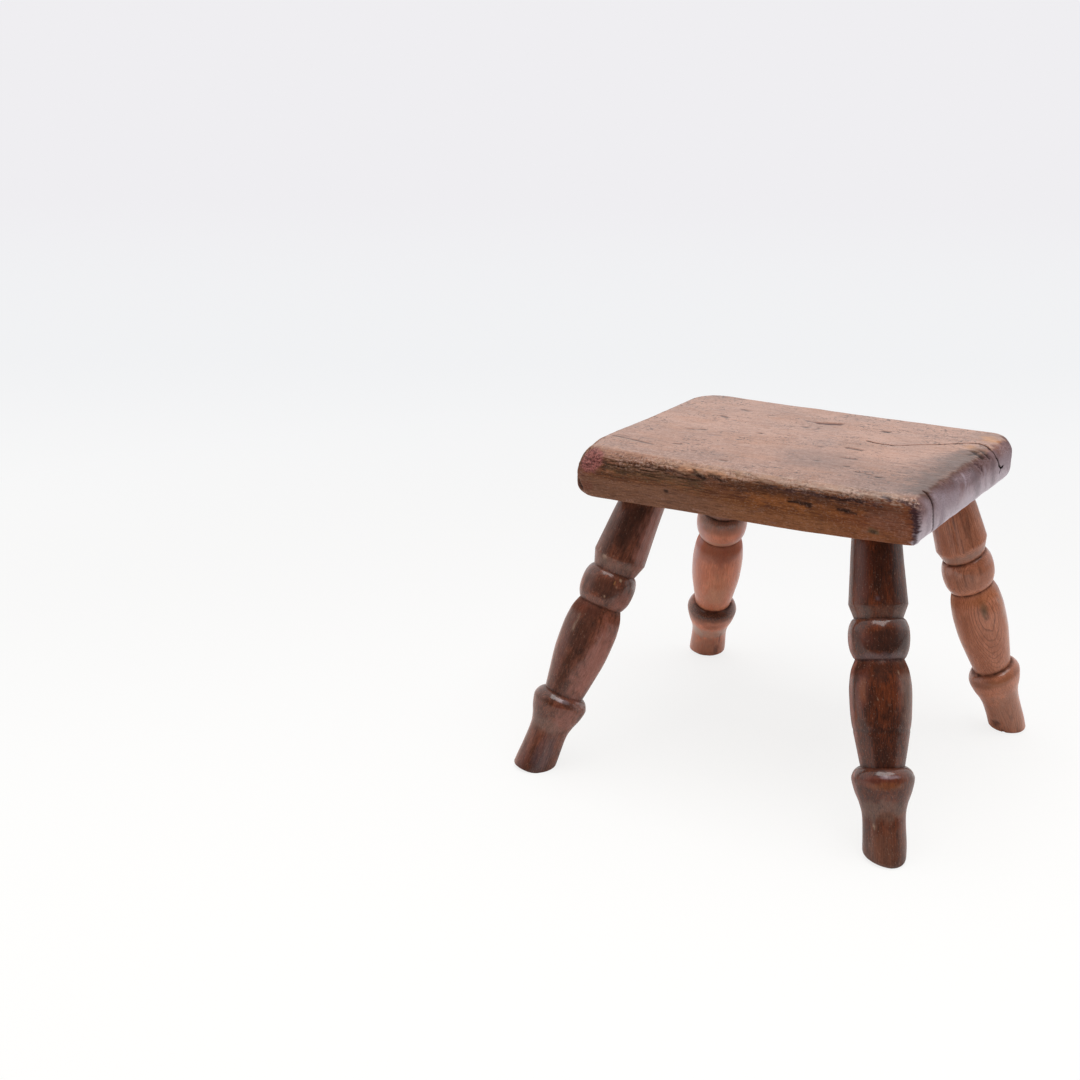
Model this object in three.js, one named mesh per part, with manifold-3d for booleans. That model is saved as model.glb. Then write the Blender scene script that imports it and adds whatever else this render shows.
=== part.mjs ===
// A low farmhouse milking stool: a thick hand-sawn plank on four turned, splayed legs.
//
// Each leg tapers towards the seat, and its end is driven as a spigot into a blind tapered socket,
// bored from below at the angle of the leg. A small wedge in a saw kerf spreads the spigot's end
// inside the socket, so nothing shows on the top of the seat.
//
// Millimetres, +Z up, +X to the right along the seat's grain, +Y to the back. The origin is on the
// floor, within 2 mm of the middle of the rectangle round the four feet.

import * as THREE from "three";
import { mergeVertices } from "three/addons/utils/BufferGeometryUtils.js";
import Module from "manifold-3d";

const wasm = await Module();
wasm.setup();

// Overall
const STOOL_HEIGHT = 270;
const JOINT_GAP = 0.3; // room left all round a piece that sits in a socket or a kerf

// Seat plank: its four corners in plan, anticlockwise from the front left, each with the radius
// that wear and the spokeshave have left on it. The plank is a little out of square, and thicker
// at its left end than at its right.
const SEAT_CORNERS = [
  { x: -147.5, y: -123, radius: 17 },
  { x: 143.5, y: -120.5, radius: 7 },
  { x: 144.5, y: 126.5, radius: 26 },
  { x: -153.5, y: 128.5, radius: 28 },
];
const SEAT_THICKNESS_LEFT = 41;
const SEAT_THICKNESS_RIGHT = 35;
// Rounding of the edges along each side, in the order of the corners that the sides start from.
const TOP_EDGE_RADII = [5, 12, 6, 9]; // front, right end, back, left end
const BOTTOM_EDGE_RADII = [4, 11, 4, 10];
const CORNER_STEPS = 7;
const TOP_EDGE_STEPS = 7;
const BOTTOM_EDGE_STEPS = 5;

// Legs: where each axis crosses the underside of the seat, and where it meets the floor. They were
// turned by eye, so each has its own girth below the cone, and one has its bead higher up.
const LEGS = {
  front_left: { socket: [-101.5, -74], foot: [-156.5, -159], girth: 0.98, beadRise: 0 },
  front_right: { socket: [95, -75.5], foot: [147, -146.5], girth: 1, beadRise: 0 },
  back_left: { socket: [-100.5, 79.5], foot: [-152, 156.5], girth: 1, beadRise: 7 },
  back_right: { socket: [96.5, 79.5], foot: [155.5, 139], girth: 0.955, beadRise: 0 },
};
const LEG_SIDES = 28;

// Turned profile. A station is a distance down the leg from the underside of the seat.
const SEAT_END_RADIUS = 18; // at the underside of the seat
const CONE_STATION = 60.5; // foot of the long cone under the seat
const CONE_RADIUS = 22.1;
const UPPER_GROOVE_STATION = 72.5;
const LOWER_GROOVE_STATION = 103.6;
const GROOVE_RADIUS = 18.3; // both grooves beside the bead
const BEAD_RADIUS = 23;
const VASE_STATION = 130; // the fattest place of the long vase
const VASE_RADIUS = 23.2;
const ANKLE_STATION = 184.2; // where the vase ends on the collar
const ANKLE_RADIUS = 16.8;
const COLLAR_STATION = 193.5;
const COLLAR_RADIUS = 23.3;
const NECK_STATION = 221; // the slimmest place between collar and foot
const NECK_RADIUS = 16.4;
const FOOT_STATION = 252;
const FOOT_RADIUS = 17.3;
const OVERCUT = 14; // length turned past the floor line, then sawn off level
const SOLE_ROUNDING = 3; // rim of each foot, worn round by the floor
const SOLE_STEPS = 3;
const BOWL_FLARE = 60; // height in which the bowl that shapes a foot opens out past the leg

// Spigot, kerf and wedge at the seat end of the leg
const SPIGOT_LENGTH = 22;
const KERF_DEPTH = 18; // from the end of the spigot
const KERF_MOUTH = 4.6;
const KERF_BOTTOM = 1.8;
const WEDGE_LENGTH = 14.5;
const WEDGE_WIDTH = 26;
const KERF_WIDTH = 60; // the saw runs right through the spigot

const seatWood = new THREE.MeshStandardMaterial({ color: 0x8a5a44, roughness: 0.5, metalness: 0 });
const legWood = new THREE.MeshStandardMaterial({ color: 0x6b3a2a, roughness: 0.38, metalness: 0 });
const wedgeWood = new THREE.MeshStandardMaterial({ color: 0xa98658, roughness: 0.7, metalness: 0 });

// A closed geometry as a manifold solid.
function solidOf(geometry) {
  const bare = geometry.clone();
  for (const name of Object.keys(bare.attributes)) {
    if (name !== "position") bare.deleteAttribute(name);
  }
  const merged = mergeVertices(bare, 1e-4);
  return new wasm.Manifold(
    new wasm.Mesh({
      numProp: 3,
      vertProperties: new Float32Array(merged.attributes.position.array),
      triVerts: new Uint32Array(merged.index.array),
    }),
  );
}

// A manifold solid as a geometry with flat facets.
function geometryOf(solid) {
  const mesh = solid.getMesh();
  const geometry = new THREE.BufferGeometry();
  geometry.setAttribute("position", new THREE.BufferAttribute(mesh.vertProperties, mesh.numProp));
  geometry.setIndex(new THREE.BufferAttribute(mesh.triVerts, 1));
  const flat = geometry.toNonIndexed();
  flat.computeVertexNormals();
  return flat;
}

// Thickness of the plank at a place along its length.
function seatThickness(x) {
  const left = SEAT_CORNERS[3].x;
  const right = SEAT_CORNERS[2].x;
  return THREE.MathUtils.mapLinear(x, left, right, SEAT_THICKNESS_LEFT, SEAT_THICKNESS_RIGHT);
}

function undersideHeight(x) {
  return STOOL_HEIGHT - seatThickness(x);
}

// How far a quarter-round edge has drawn in, at a distance from the face that it rounds into.
function roundingInset(radius, distance) {
  if (distance >= radius) return 0;
  return radius - Math.sqrt(radius ** 2 - (radius - distance) ** 2);
}

// The seat's outline with each side moved in by its own inset, its corners rounded.
function seatOutline(insets) {
  const count = SEAT_CORNERS.length;
  const corners = SEAT_CORNERS.map((corner) => new THREE.Vector2(corner.x, corner.y));
  const sides = corners.map((start, i) => {
    const along = corners[(i + 1) % count].clone().sub(start).normalize();
    const inward = new THREE.Vector2(-along.y, along.x);
    return { start: start.clone().addScaledVector(inward, insets[i]), along };
  });
  const points = [];
  for (let i = 0; i < count; i++) {
    const before = sides[(i + count - 1) % count];
    const after = sides[i];
    const between = after.start.clone().sub(before.start);
    const reach = between.cross(after.along) / before.along.cross(after.along);
    const corner = before.start.clone().addScaledVector(before.along, reach);
    const inset = Math.min(insets[i], insets[(i + count - 1) % count]);
    const radius = Math.max(SEAT_CORNERS[i].radius - inset, 1);
    const turn = Math.acos(before.along.dot(after.along));
    const tangent = radius * Math.tan(turn / 2);
    const inward = new THREE.Vector2(-before.along.y, before.along.x);
    const centre = corner.clone().addScaledVector(before.along, -tangent).addScaledVector(inward, radius);
    const firstAngle = Math.atan2(-inward.y, -inward.x);
    for (let step = 0; step <= CORNER_STEPS; step++) {
      const angle = firstAngle + (turn * step) / CORNER_STEPS;
      const direction = new THREE.Vector2(Math.cos(angle), Math.sin(angle));
      points.push(centre.clone().addScaledVector(direction, radius));
    }
  }
  return points;
}

// The plank without its sockets: outlines stacked from the underside to the top.
function plankGeometry() {
  // Each level is known by its height above the underside or by its depth below the top.
  const levels = [];
  for (let step = 0; step <= BOTTOM_EDGE_STEPS; step++) {
    const angle = (Math.PI / 2) * (step / BOTTOM_EDGE_STEPS);
    const above = Math.max(...BOTTOM_EDGE_RADII) * (1 - Math.cos(angle));
    levels.push({ above, insets: BOTTOM_EDGE_RADII.map((radius) => roundingInset(radius, above)) });
  }
  for (let step = TOP_EDGE_STEPS; step >= 0; step--) {
    const angle = (Math.PI / 2) * (step / TOP_EDGE_STEPS);
    const depth = Math.max(...TOP_EDGE_RADII) * (1 - Math.cos(angle));
    levels.push({ depth, insets: TOP_EDGE_RADII.map((radius) => roundingInset(radius, depth)) });
  }

  const positions = [];
  const heightAt = (level, x) =>
    level.depth === undefined ? undersideHeight(x) + level.above : STOOL_HEIGHT - level.depth;
  const addVertex = (x, y, z) => positions.push(x, y, z) / 3 - 1;
  const rings = levels.map((level) =>
    seatOutline(level.insets).map((point) => addVertex(point.x, point.y, heightAt(level, point.x))),
  );
  const middle = new THREE.Vector2();
  SEAT_CORNERS.forEach((corner) => middle.add(new THREE.Vector2(corner.x, corner.y)));
  middle.divideScalar(SEAT_CORNERS.length);
  const bottomMiddle = addVertex(middle.x, middle.y, undersideHeight(middle.x));
  const topMiddle = addVertex(middle.x, middle.y, STOOL_HEIGHT);

  const faces = [];
  const around = rings[0].length;
  for (let i = 0; i < around; i++) {
    const next = (i + 1) % around;
    for (let level = 0; level + 1 < rings.length; level++) {
      const lower = rings[level];
      const upper = rings[level + 1];
      faces.push(lower[i], lower[next], upper[next], lower[i], upper[next], upper[i]);
    }
    faces.push(bottomMiddle, rings[0][next], rings[0][i]);
    faces.push(topMiddle, rings.at(-1)[i], rings.at(-1)[next]);
  }
  const geometry = new THREE.BufferGeometry();
  geometry.setAttribute("position", new THREE.Float32BufferAttribute(positions, 3));
  geometry.setIndex(faces);
  return geometry;
}

// Radius of the plain taper that runs from the cone up through the spigot.
function taperRadius(station) {
  return THREE.MathUtils.mapLinear(station, 0, CONE_STATION, SEAT_END_RADIUS, CONE_RADIUS);
}

// The leg's turned outline from the end of the spigot down past the floor line. In each point, x is
// the radius and y the height along the leg's axis, measured up from the underside of the seat.
function legProfile({ girth, beadRise }) {
  const at = (station, radius) => new THREE.Vector2(radius * girth, -station);
  const coneEnd = CONE_STATION - beadRise;
  const upperGroove = UPPER_GROOVE_STATION - beadRise;
  const lowerGroove = LOWER_GROOVE_STATION - beadRise;
  const path = new THREE.Path();
  path.moveTo(0, SPIGOT_LENGTH);
  path.lineTo(taperRadius(-SPIGOT_LENGTH), SPIGOT_LENGTH);
  path.lineTo(taperRadius(coneEnd), -coneEnd);
  path.lineTo(GROOVE_RADIUS * girth, -upperGroove);

  const beadMiddle = (upperGroove + lowerGroove) / 2;
  const beadHalf = (lowerGroove - upperGroove) / 2;
  const swell = BEAD_RADIUS - GROOVE_RADIUS;
  path.splineThru([
    at(beadMiddle - 0.86 * beadHalf, GROOVE_RADIUS + 0.52 * swell),
    at(beadMiddle - 0.5 * beadHalf, GROOVE_RADIUS + 0.92 * swell),
    at(beadMiddle, BEAD_RADIUS),
    at(beadMiddle + 0.5 * beadHalf, GROOVE_RADIUS + 0.92 * swell),
    at(beadMiddle + 0.86 * beadHalf, GROOVE_RADIUS + 0.52 * swell),
    at(lowerGroove, GROOVE_RADIUS),
  ]);

  const shoulder = VASE_STATION - lowerGroove;
  const taper = ANKLE_STATION - VASE_STATION;
  path.splineThru([
    at(lowerGroove + 0.3 * shoulder, GROOVE_RADIUS + 0.62 * (VASE_RADIUS - GROOVE_RADIUS)),
    at(lowerGroove + 0.65 * shoulder, GROOVE_RADIUS + 0.93 * (VASE_RADIUS - GROOVE_RADIUS)),
    at(VASE_STATION, VASE_RADIUS),
    at(VASE_STATION + 0.35 * taper, VASE_RADIUS - 0.14 * (VASE_RADIUS - ANKLE_RADIUS)),
    at(VASE_STATION + 0.7 * taper, VASE_RADIUS - 0.58 * (VASE_RADIUS - ANKLE_RADIUS)),
    at(ANKLE_STATION, ANKLE_RADIUS),
  ]);

  const step = COLLAR_RADIUS - ANKLE_RADIUS;
  const flare = NECK_STATION - COLLAR_STATION;
  path.splineThru([
    at(ANKLE_STATION + 1.2, ANKLE_RADIUS + 0.6 * step),
    at(ANKLE_STATION + 4.2, ANKLE_RADIUS + 0.9 * step),
    at(COLLAR_STATION, COLLAR_RADIUS),
    at(COLLAR_STATION + 0.3 * flare, COLLAR_RADIUS - 0.28 * (COLLAR_RADIUS - NECK_RADIUS)),
    at(COLLAR_STATION + 0.62 * flare, COLLAR_RADIUS - 0.76 * (COLLAR_RADIUS - NECK_RADIUS)),
    at(NECK_STATION, NECK_RADIUS),
    at(FOOT_STATION, FOOT_RADIUS),
  ]);
  path.lineTo(FOOT_RADIUS * girth, -FOOT_STATION - OVERCUT);
  path.lineTo(0, -FOOT_STATION - OVERCUT);
  return path.getPoints(2);
}

// A lathe profile runs up the axis, so that the faces point out.
function turned(profile) {
  return new THREE.LatheGeometry([...profile].reverse(), LEG_SIDES);
}

// A wedge shape, wide at the spigot's end, thin towards the seat's underside, along local y.
function wedgeGeometry(mouth, point, top, bottom, width) {
  const shape = new THREE.Shape();
  shape.moveTo(-point / 2, bottom);
  shape.lineTo(point / 2, bottom);
  shape.lineTo(mouth / 2, top);
  shape.lineTo(-mouth / 2, top);
  shape.closePath();
  const geometry = new THREE.ExtrudeGeometry(shape, { depth: width, bevelEnabled: false });
  geometry.translate(0, 0, -width / 2);
  return geometry;
}

// Where a leg stands: its axis is local y, and local x, across the kerf, keeps to the seat's grain,
// so that the wedge presses on end grain and can't split the plank.
function legPlacement({ socket, foot }) {
  const top = new THREE.Vector3(socket[0], socket[1], undersideHeight(socket[0]));
  const up = top.clone().sub(new THREE.Vector3(foot[0], foot[1], 0)).normalize();
  const across = new THREE.Vector3(1, 0, 0);
  across.addScaledVector(up, -across.dot(up)).normalize();
  const side = across.clone().cross(up);
  return new THREE.Matrix4().makeBasis(across, up, side).setPosition(top);
}

// The space that a leg fills, in the stool's frame: level at the floor, with a rounded rim there, and
// wider than the leg from the rim up.
function soleBowl({ foot, girth }) {
  const rim = FOOT_RADIUS * girth;
  const points = [new THREE.Vector2(0, 0)];
  for (let step = 0; step <= SOLE_STEPS; step++) {
    const angle = (Math.PI / 2) * (step / SOLE_STEPS);
    const inset = SOLE_ROUNDING * (1 - Math.sin(angle));
    points.push(new THREE.Vector2(rim - inset, SOLE_ROUNDING * (1 - Math.cos(angle))));
  }
  points.push(new THREE.Vector2(STOOL_HEIGHT, BOWL_FLARE));
  points.push(new THREE.Vector2(STOOL_HEIGHT, STOOL_HEIGHT));
  points.push(new THREE.Vector2(0, STOOL_HEIGHT));
  const bowl = new THREE.LatheGeometry(points, LEG_SIDES);
  bowl.rotateX(Math.PI / 2);
  bowl.translate(foot[0], foot[1], 0);
  return bowl;
}

function legGeometry(leg, placement) {
  const kerf = wedgeGeometry(
    KERF_MOUTH,
    KERF_BOTTOM,
    SPIGOT_LENGTH + 1,
    SPIGOT_LENGTH - KERF_DEPTH,
    KERF_WIDTH,
  );
  const bowl = soleBowl(leg).applyMatrix4(placement.clone().invert());
  return geometryOf(solidOf(turned(legProfile(leg))).subtract(solidOf(kerf)).intersect(solidOf(bowl)));
}

// The tapered blind hole that a spigot sits in, from its bottom down past the seat's underside.
function socketCutter(placement) {
  const bottom = SPIGOT_LENGTH + JOINT_GAP;
  const mouth = 16; // below the underside even on the leg's high side
  const cutter = turned([
    new THREE.Vector2(0, bottom),
    new THREE.Vector2(taperRadius(-bottom) + JOINT_GAP, bottom),
    new THREE.Vector2(taperRadius(mouth) + JOINT_GAP, -mouth),
    new THREE.Vector2(0, -mouth),
  ]);
  cutter.applyMatrix4(placement);
  return solidOf(cutter);
}

function foxWedgeGeometry() {
  const slope = (KERF_MOUTH - KERF_BOTTOM) / KERF_DEPTH;
  const mouth = KERF_MOUTH - 2 * JOINT_GAP;
  return wedgeGeometry(
    mouth,
    mouth - slope * WEDGE_LENGTH,
    SPIGOT_LENGTH,
    SPIGOT_LENGTH - WEDGE_LENGTH,
    WEDGE_WIDTH,
  );
}

function placedMesh(name, geometry, material, placement) {
  const mesh = new THREE.Mesh(geometry, material);
  mesh.name = name;
  if (placement) placement.decompose(mesh.position, mesh.quaternion, mesh.scale);
  return mesh;
}

const stool = new THREE.Group();
let plank = solidOf(plankGeometry());
for (const [place, leg] of Object.entries(LEGS)) {
  const placement = legPlacement(leg);
  stool.add(placedMesh(`leg_${place}`, legGeometry(leg, placement), legWood, placement));
  stool.add(placedMesh(`fox_wedge_${place}`, foxWedgeGeometry(), wedgeWood, placement));
  plank = plank.subtract(socketCutter(placement));
}
stool.add(placedMesh("seat", geometryOf(plank), seatWood));

export default stool;
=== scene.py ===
"""A low milking stool: a thick worn plank on four turned, splayed legs, dressed for a studio picture.

Sizes are in millimetres. A mesh is turned into metres when it is done, and materials measure their
patterns in millimetres too. +X runs along the seat's grain, +Y to the back, +Z up.
"""

import logging
import math
from dataclasses import dataclass, field
from enum import Enum
from typing import Any, Optional, Sequence

import bmesh
import bpy
import numpy as np
from mathutils import Matrix, Vector, noise
from mathutils.bvhtree import BVHTree


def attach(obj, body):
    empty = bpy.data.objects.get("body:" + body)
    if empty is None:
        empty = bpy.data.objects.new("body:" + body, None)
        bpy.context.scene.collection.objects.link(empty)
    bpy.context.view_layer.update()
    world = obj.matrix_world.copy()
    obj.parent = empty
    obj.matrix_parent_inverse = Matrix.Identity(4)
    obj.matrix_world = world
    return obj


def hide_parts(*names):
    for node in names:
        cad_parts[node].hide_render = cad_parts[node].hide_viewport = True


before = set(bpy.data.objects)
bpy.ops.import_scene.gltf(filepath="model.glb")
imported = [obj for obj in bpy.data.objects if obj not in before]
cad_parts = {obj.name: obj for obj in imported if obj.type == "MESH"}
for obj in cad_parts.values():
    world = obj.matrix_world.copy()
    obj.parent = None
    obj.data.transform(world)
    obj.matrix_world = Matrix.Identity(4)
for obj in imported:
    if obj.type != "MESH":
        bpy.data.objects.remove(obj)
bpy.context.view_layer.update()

MM = 0.001
SEAT_HEIGHT = 270.0
SHARP_ANGLE = math.radians(50.0)
log = logging.getLogger("stool")

Colour = tuple[float, float, float]
Place = tuple[float, float, float]
Point = tuple[float, float]


def smooth(low: float, high: float, value: Any) -> Any:
    """Rise smoothly from 0 at low to 1 at high, for a number or an array."""
    part = np.clip((value - low) / (high - low), 0.0, 1.0)
    return part * part * (3.0 - 2.0 * part)


def mix(first: Any, second: Any, part: Any) -> Any:
    """Go from the first value to the second as part goes from 0 to 1."""
    return first + (second - first) * part


def bell(distance: Any) -> Any:
    """Fall from 1 at distance 0, through about a third at 1, to nothing."""
    return np.exp(-np.square(distance))


def wrapped(degrees: Any) -> Any:
    """Bring an angle between -180 and 180 degrees."""
    return (degrees + 180.0) % 360.0 - 180.0


def grain_noise(places: np.ndarray, lengths: Place, octaves: int = 2, shift: float = 0.0) -> np.ndarray:
    """Soft noise from about -1 to 1 at each point, with waves of these lengths along x, y and z."""
    scaled = places / np.array(lengths) + shift
    return np.array([noise.fractal(Vector(p), 1.0, 2.0, octaves) for p in scaled.tolist()])


class Signal:
    """A value or colour on its way through a shader, worked with Python's operators."""

    def __init__(self, graph: "Graph", socket: bpy.types.NodeSocket) -> None:
        """Hold an output socket of a node in the graph."""
        self.graph = graph
        self.socket = socket

    def _math(self, operation: str, *values: Any, clamp: bool = False) -> "Signal":
        """Send numbers or signals through one Math node, in the order of its sockets."""
        settings = {"operation": operation, "use_clamp": clamp}
        return self.graph.signal("ShaderNodeMath", settings, dict(enumerate(values)))

    def __add__(self, other: Any) -> "Signal":
        """Add."""
        return self._math("ADD", self, other)

    def __radd__(self, other: Any) -> "Signal":
        """Add to a number."""
        return self._math("ADD", other, self)

    def __sub__(self, other: Any) -> "Signal":
        """Subtract."""
        return self._math("SUBTRACT", self, other)

    def __rsub__(self, other: Any) -> "Signal":
        """Subtract from a number."""
        return self._math("SUBTRACT", other, self)

    def __mul__(self, other: Any) -> "Signal":
        """Multiply."""
        return self._math("MULTIPLY", self, other)

    def __rmul__(self, other: Any) -> "Signal":
        """Multiply a number."""
        return self._math("MULTIPLY", other, self)

    def __truediv__(self, other: Any) -> "Signal":
        """Divide."""
        return self._math("DIVIDE", self, other)

    def __pow__(self, other: Any) -> "Signal":
        """Raise to a power."""
        return self._math("POWER", self, other)

    def fraction(self) -> "Signal":
        """Keep what follows the decimal point, which saws up and drops."""
        return self._math("FRACT", self)

    def clipped(self) -> "Signal":
        """Keep between 0 and 1."""
        return self._math("ADD", self, 0.0, clamp=True)

    def spread(self, gain: float) -> "Signal":
        """Widen the swing of a noise about its middle."""
        return self._math("MULTIPLY_ADD", self, gain, 0.5 - 0.5 * gain, clamp=True)

    def above(self, low: float, high: float) -> "Signal":
        """Rise smoothly from 0 at low to 1 at high.

        Args:
            low: where the rise starts.
            high: where it ends.

        Returns:
            The new signal.
        """
        settings = {"interpolation_type": "SMOOTHSTEP"}
        sockets = {"Value": self, "From Min": low, "From Max": high}
        return self.graph.signal("ShaderNodeMapRange", settings, sockets)


class Graph:
    """The shader of one material or of the world, built node by node."""

    def __init__(self, tree: bpy.types.NodeTree) -> None:
        """Start from an empty node tree."""
        tree.nodes.clear()
        self.tree = tree

    def node(
        self, kind: str, settings: Optional[dict] = None, sockets: Optional[dict] = None
    ) -> bpy.types.Node:
        """Add a node.

        Args:
            kind: the node's type.
            settings: what the node is set to.
            sockets: a value or a signal for each named or numbered input.

        Returns:
            The node.
        """
        node = self.tree.nodes.new(kind)
        for name, value in (settings or {}).items():
            setattr(node, name, value)
        for key, value in (sockets or {}).items():
            self._feed(node.inputs[key], value)
        return node

    def signal(
        self, kind: str, settings: Optional[dict] = None, sockets: Optional[dict] = None, output: Any = 0
    ) -> Signal:
        """Add a node and give one of its outputs."""
        return Signal(self, self.node(kind, settings, sockets).outputs[output])

    def _feed(self, socket: bpy.types.NodeSocket, value: Any) -> None:
        """Link a signal to a socket, or set the socket's own value.

        Args:
            socket: a node's input.
            value: a signal, a number, a colour or a vector.
        """
        if isinstance(value, Signal):
            self.tree.links.new(value.socket, socket)
        elif socket.type == "RGBA" and len(value) == 3:
            socket.default_value = (*value, 1.0)
        else:
            socket.default_value = value

    def place(self, origin: Place = (0.0, 0.0, 0.0), turn: Place = (0.0, 0.0, 0.0)) -> Signal:
        """Give a point's place on the piece in millimetres, in axes set at an origin and turned.

        Args:
            origin: where the axes stand.
            turn: how they are turned, as an Euler angle.

        Returns:
            The place as a vector.
        """
        coordinates = self.signal("ShaderNodeTexCoord", output="Object")
        sockets = {
            "Vector": coordinates,
            "Location": [value * MM for value in origin],
            "Rotation": turn,
            "Scale": (MM, MM, MM),
        }
        return self.signal("ShaderNodeMapping", {"vector_type": "TEXTURE"}, sockets)

    def split(self, vector: Signal) -> tuple[Signal, Signal, Signal]:
        """Take a vector apart.

        Args:
            vector: a vector.

        Returns:
            Its x, y and z.
        """
        node = self.node("ShaderNodeSeparateXYZ", sockets={0: vector})
        x, y, z = (Signal(self, socket) for socket in node.outputs)
        return x, y, z

    def grain(
        self,
        place: Signal,
        lengths: Place,
        detail: float = 2.0,
        roughness: float = 0.5,
        shift: Place = (0.0, 0.0, 0.0),
    ) -> Signal:
        """Noise from 0 to 1, drawn out along the grain.

        Args:
            place: where on the piece, in millimetres.
            lengths: size of the noise's waves along x, y and z.
            detail: how many finer waves are added.
            roughness: how strong the finer waves are.
            shift: moves to another part of the noise.

        Returns:
            The noise's value.
        """
        scale = tuple(1.0 / length for length in lengths)
        mapping = {"Vector": place, "Location": shift, "Scale": scale}
        stretched = self.signal("ShaderNodeMapping", sockets=mapping)
        sockets = {"Vector": stretched, "Scale": 1.0, "Detail": detail, "Roughness": roughness}
        return self.signal("ShaderNodeTexNoise", sockets=sockets)

    def painted(self, name: str, output: str = "Fac") -> Signal:
        """Read what the mesh was painted with, by its name."""
        return self.signal("ShaderNodeAttribute", {"attribute_name": name}, output=output)

    def blend(self, part: Any, first: Any, second: Any) -> Signal:
        """Mix two colours, by how much of the second one."""
        sockets = {0: part, 6: first, 7: second}
        return self.signal("ShaderNodeMix", {"data_type": "RGBA"}, sockets, output=2)

    def bump(self, height: Signal, distance: float, strength: float = 1.0) -> Signal:
        """Turn a height from 0 to 1 into a change of the normal, for a real height in millimetres."""
        sockets = {"Height": height, "Distance": distance * MM, "Strength": strength}
        return self.signal("ShaderNodeBump", sockets=sockets, output="Normal")


class Paint(Enum):
    """Colours that wear, dirt and light wood have left on the plank and the legs, some also used for
    painted shade, sheen and highlights.
    """

    SOOT = (0.028, 0.012, 0.009)
    PURPLE = (0.050, 0.018, 0.024)
    UMBER = (0.065, 0.024, 0.013)
    BARK = (0.125, 0.055, 0.035)
    OLIVE = (0.140, 0.085, 0.040)
    RUST = (0.170, 0.042, 0.026)
    # painted rose sheen, for the legs' rims and flanks
    ROSE_SHEEN = (0.400, 0.150, 0.110)
    CLAY = (0.270, 0.105, 0.062)
    EMBER = (0.380, 0.120, 0.030)
    ORANGE = (0.560, 0.245, 0.085)
    SALMON = (0.560, 0.270, 0.150)
    STRAW = (0.560, 0.360, 0.240)
    # painted pale highlight and sheen, on the front arris and the back legs
    BONE = (0.480, 0.330, 0.260)
    DUST = (0.230, 0.140, 0.105)
    # painted lilac sheen and highlights, on the right end and the legs
    LILAC_SHEEN = (0.430, 0.335, 0.375)
    SLATE = (0.115, 0.085, 0.100)


def new_material(name: str) -> tuple[bpy.types.Material, Graph]:
    """Make an empty node material and its graph.

    Args:
        name: what it is called.

    Returns:
        The material and its graph.
    """
    material = bpy.data.materials.new(name)
    material.use_nodes = True
    return material, Graph(material.node_tree)


@dataclass(frozen=True)
class Polish:
    """How a finish reflects, the same all over a piece."""

    specular: float = 0.5
    coat_roughness: float = 0.25
    coat_ior: float = 1.5
    sheen: float = 0.0
    sheen_roughness: float = 0.45
    sheen_tint: Colour = (1.0, 1.0, 1.0)

    def shade(self, graph: Graph, colour: Signal, roughness: Any, coat: Any, normal: Signal) -> None:
        """Close a material with this polish.

        Args:
            graph: the material's graph.
            colour: the wood's colour.
            roughness: how dull the wood is.
            coat: how much wax lies on it.
            normal: the bumped normal.
        """
        sockets = {
            "Base Color": colour,
            "Roughness": roughness,
            "Specular IOR Level": self.specular,
            "Coat Weight": coat,
            "Coat Roughness": self.coat_roughness,
            "Coat IOR": self.coat_ior,
            "Sheen Weight": self.sheen,
            "Sheen Roughness": self.sheen_roughness,
            "Sheen Tint": self.sheen_tint,
            "Normal": normal,
        }
        shader = graph.signal("ShaderNodeBsdfPrincipled", sockets=sockets)
        graph.node("ShaderNodeOutputMaterial", sockets={"Surface": shader})


@dataclass(frozen=True)
class PlankGrain:
    """The noises that the plank's colours share."""

    graph: Graph
    place: Signal
    cloud: Signal
    streak: Signal
    fibre: Signal
    mottle: Signal


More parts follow.
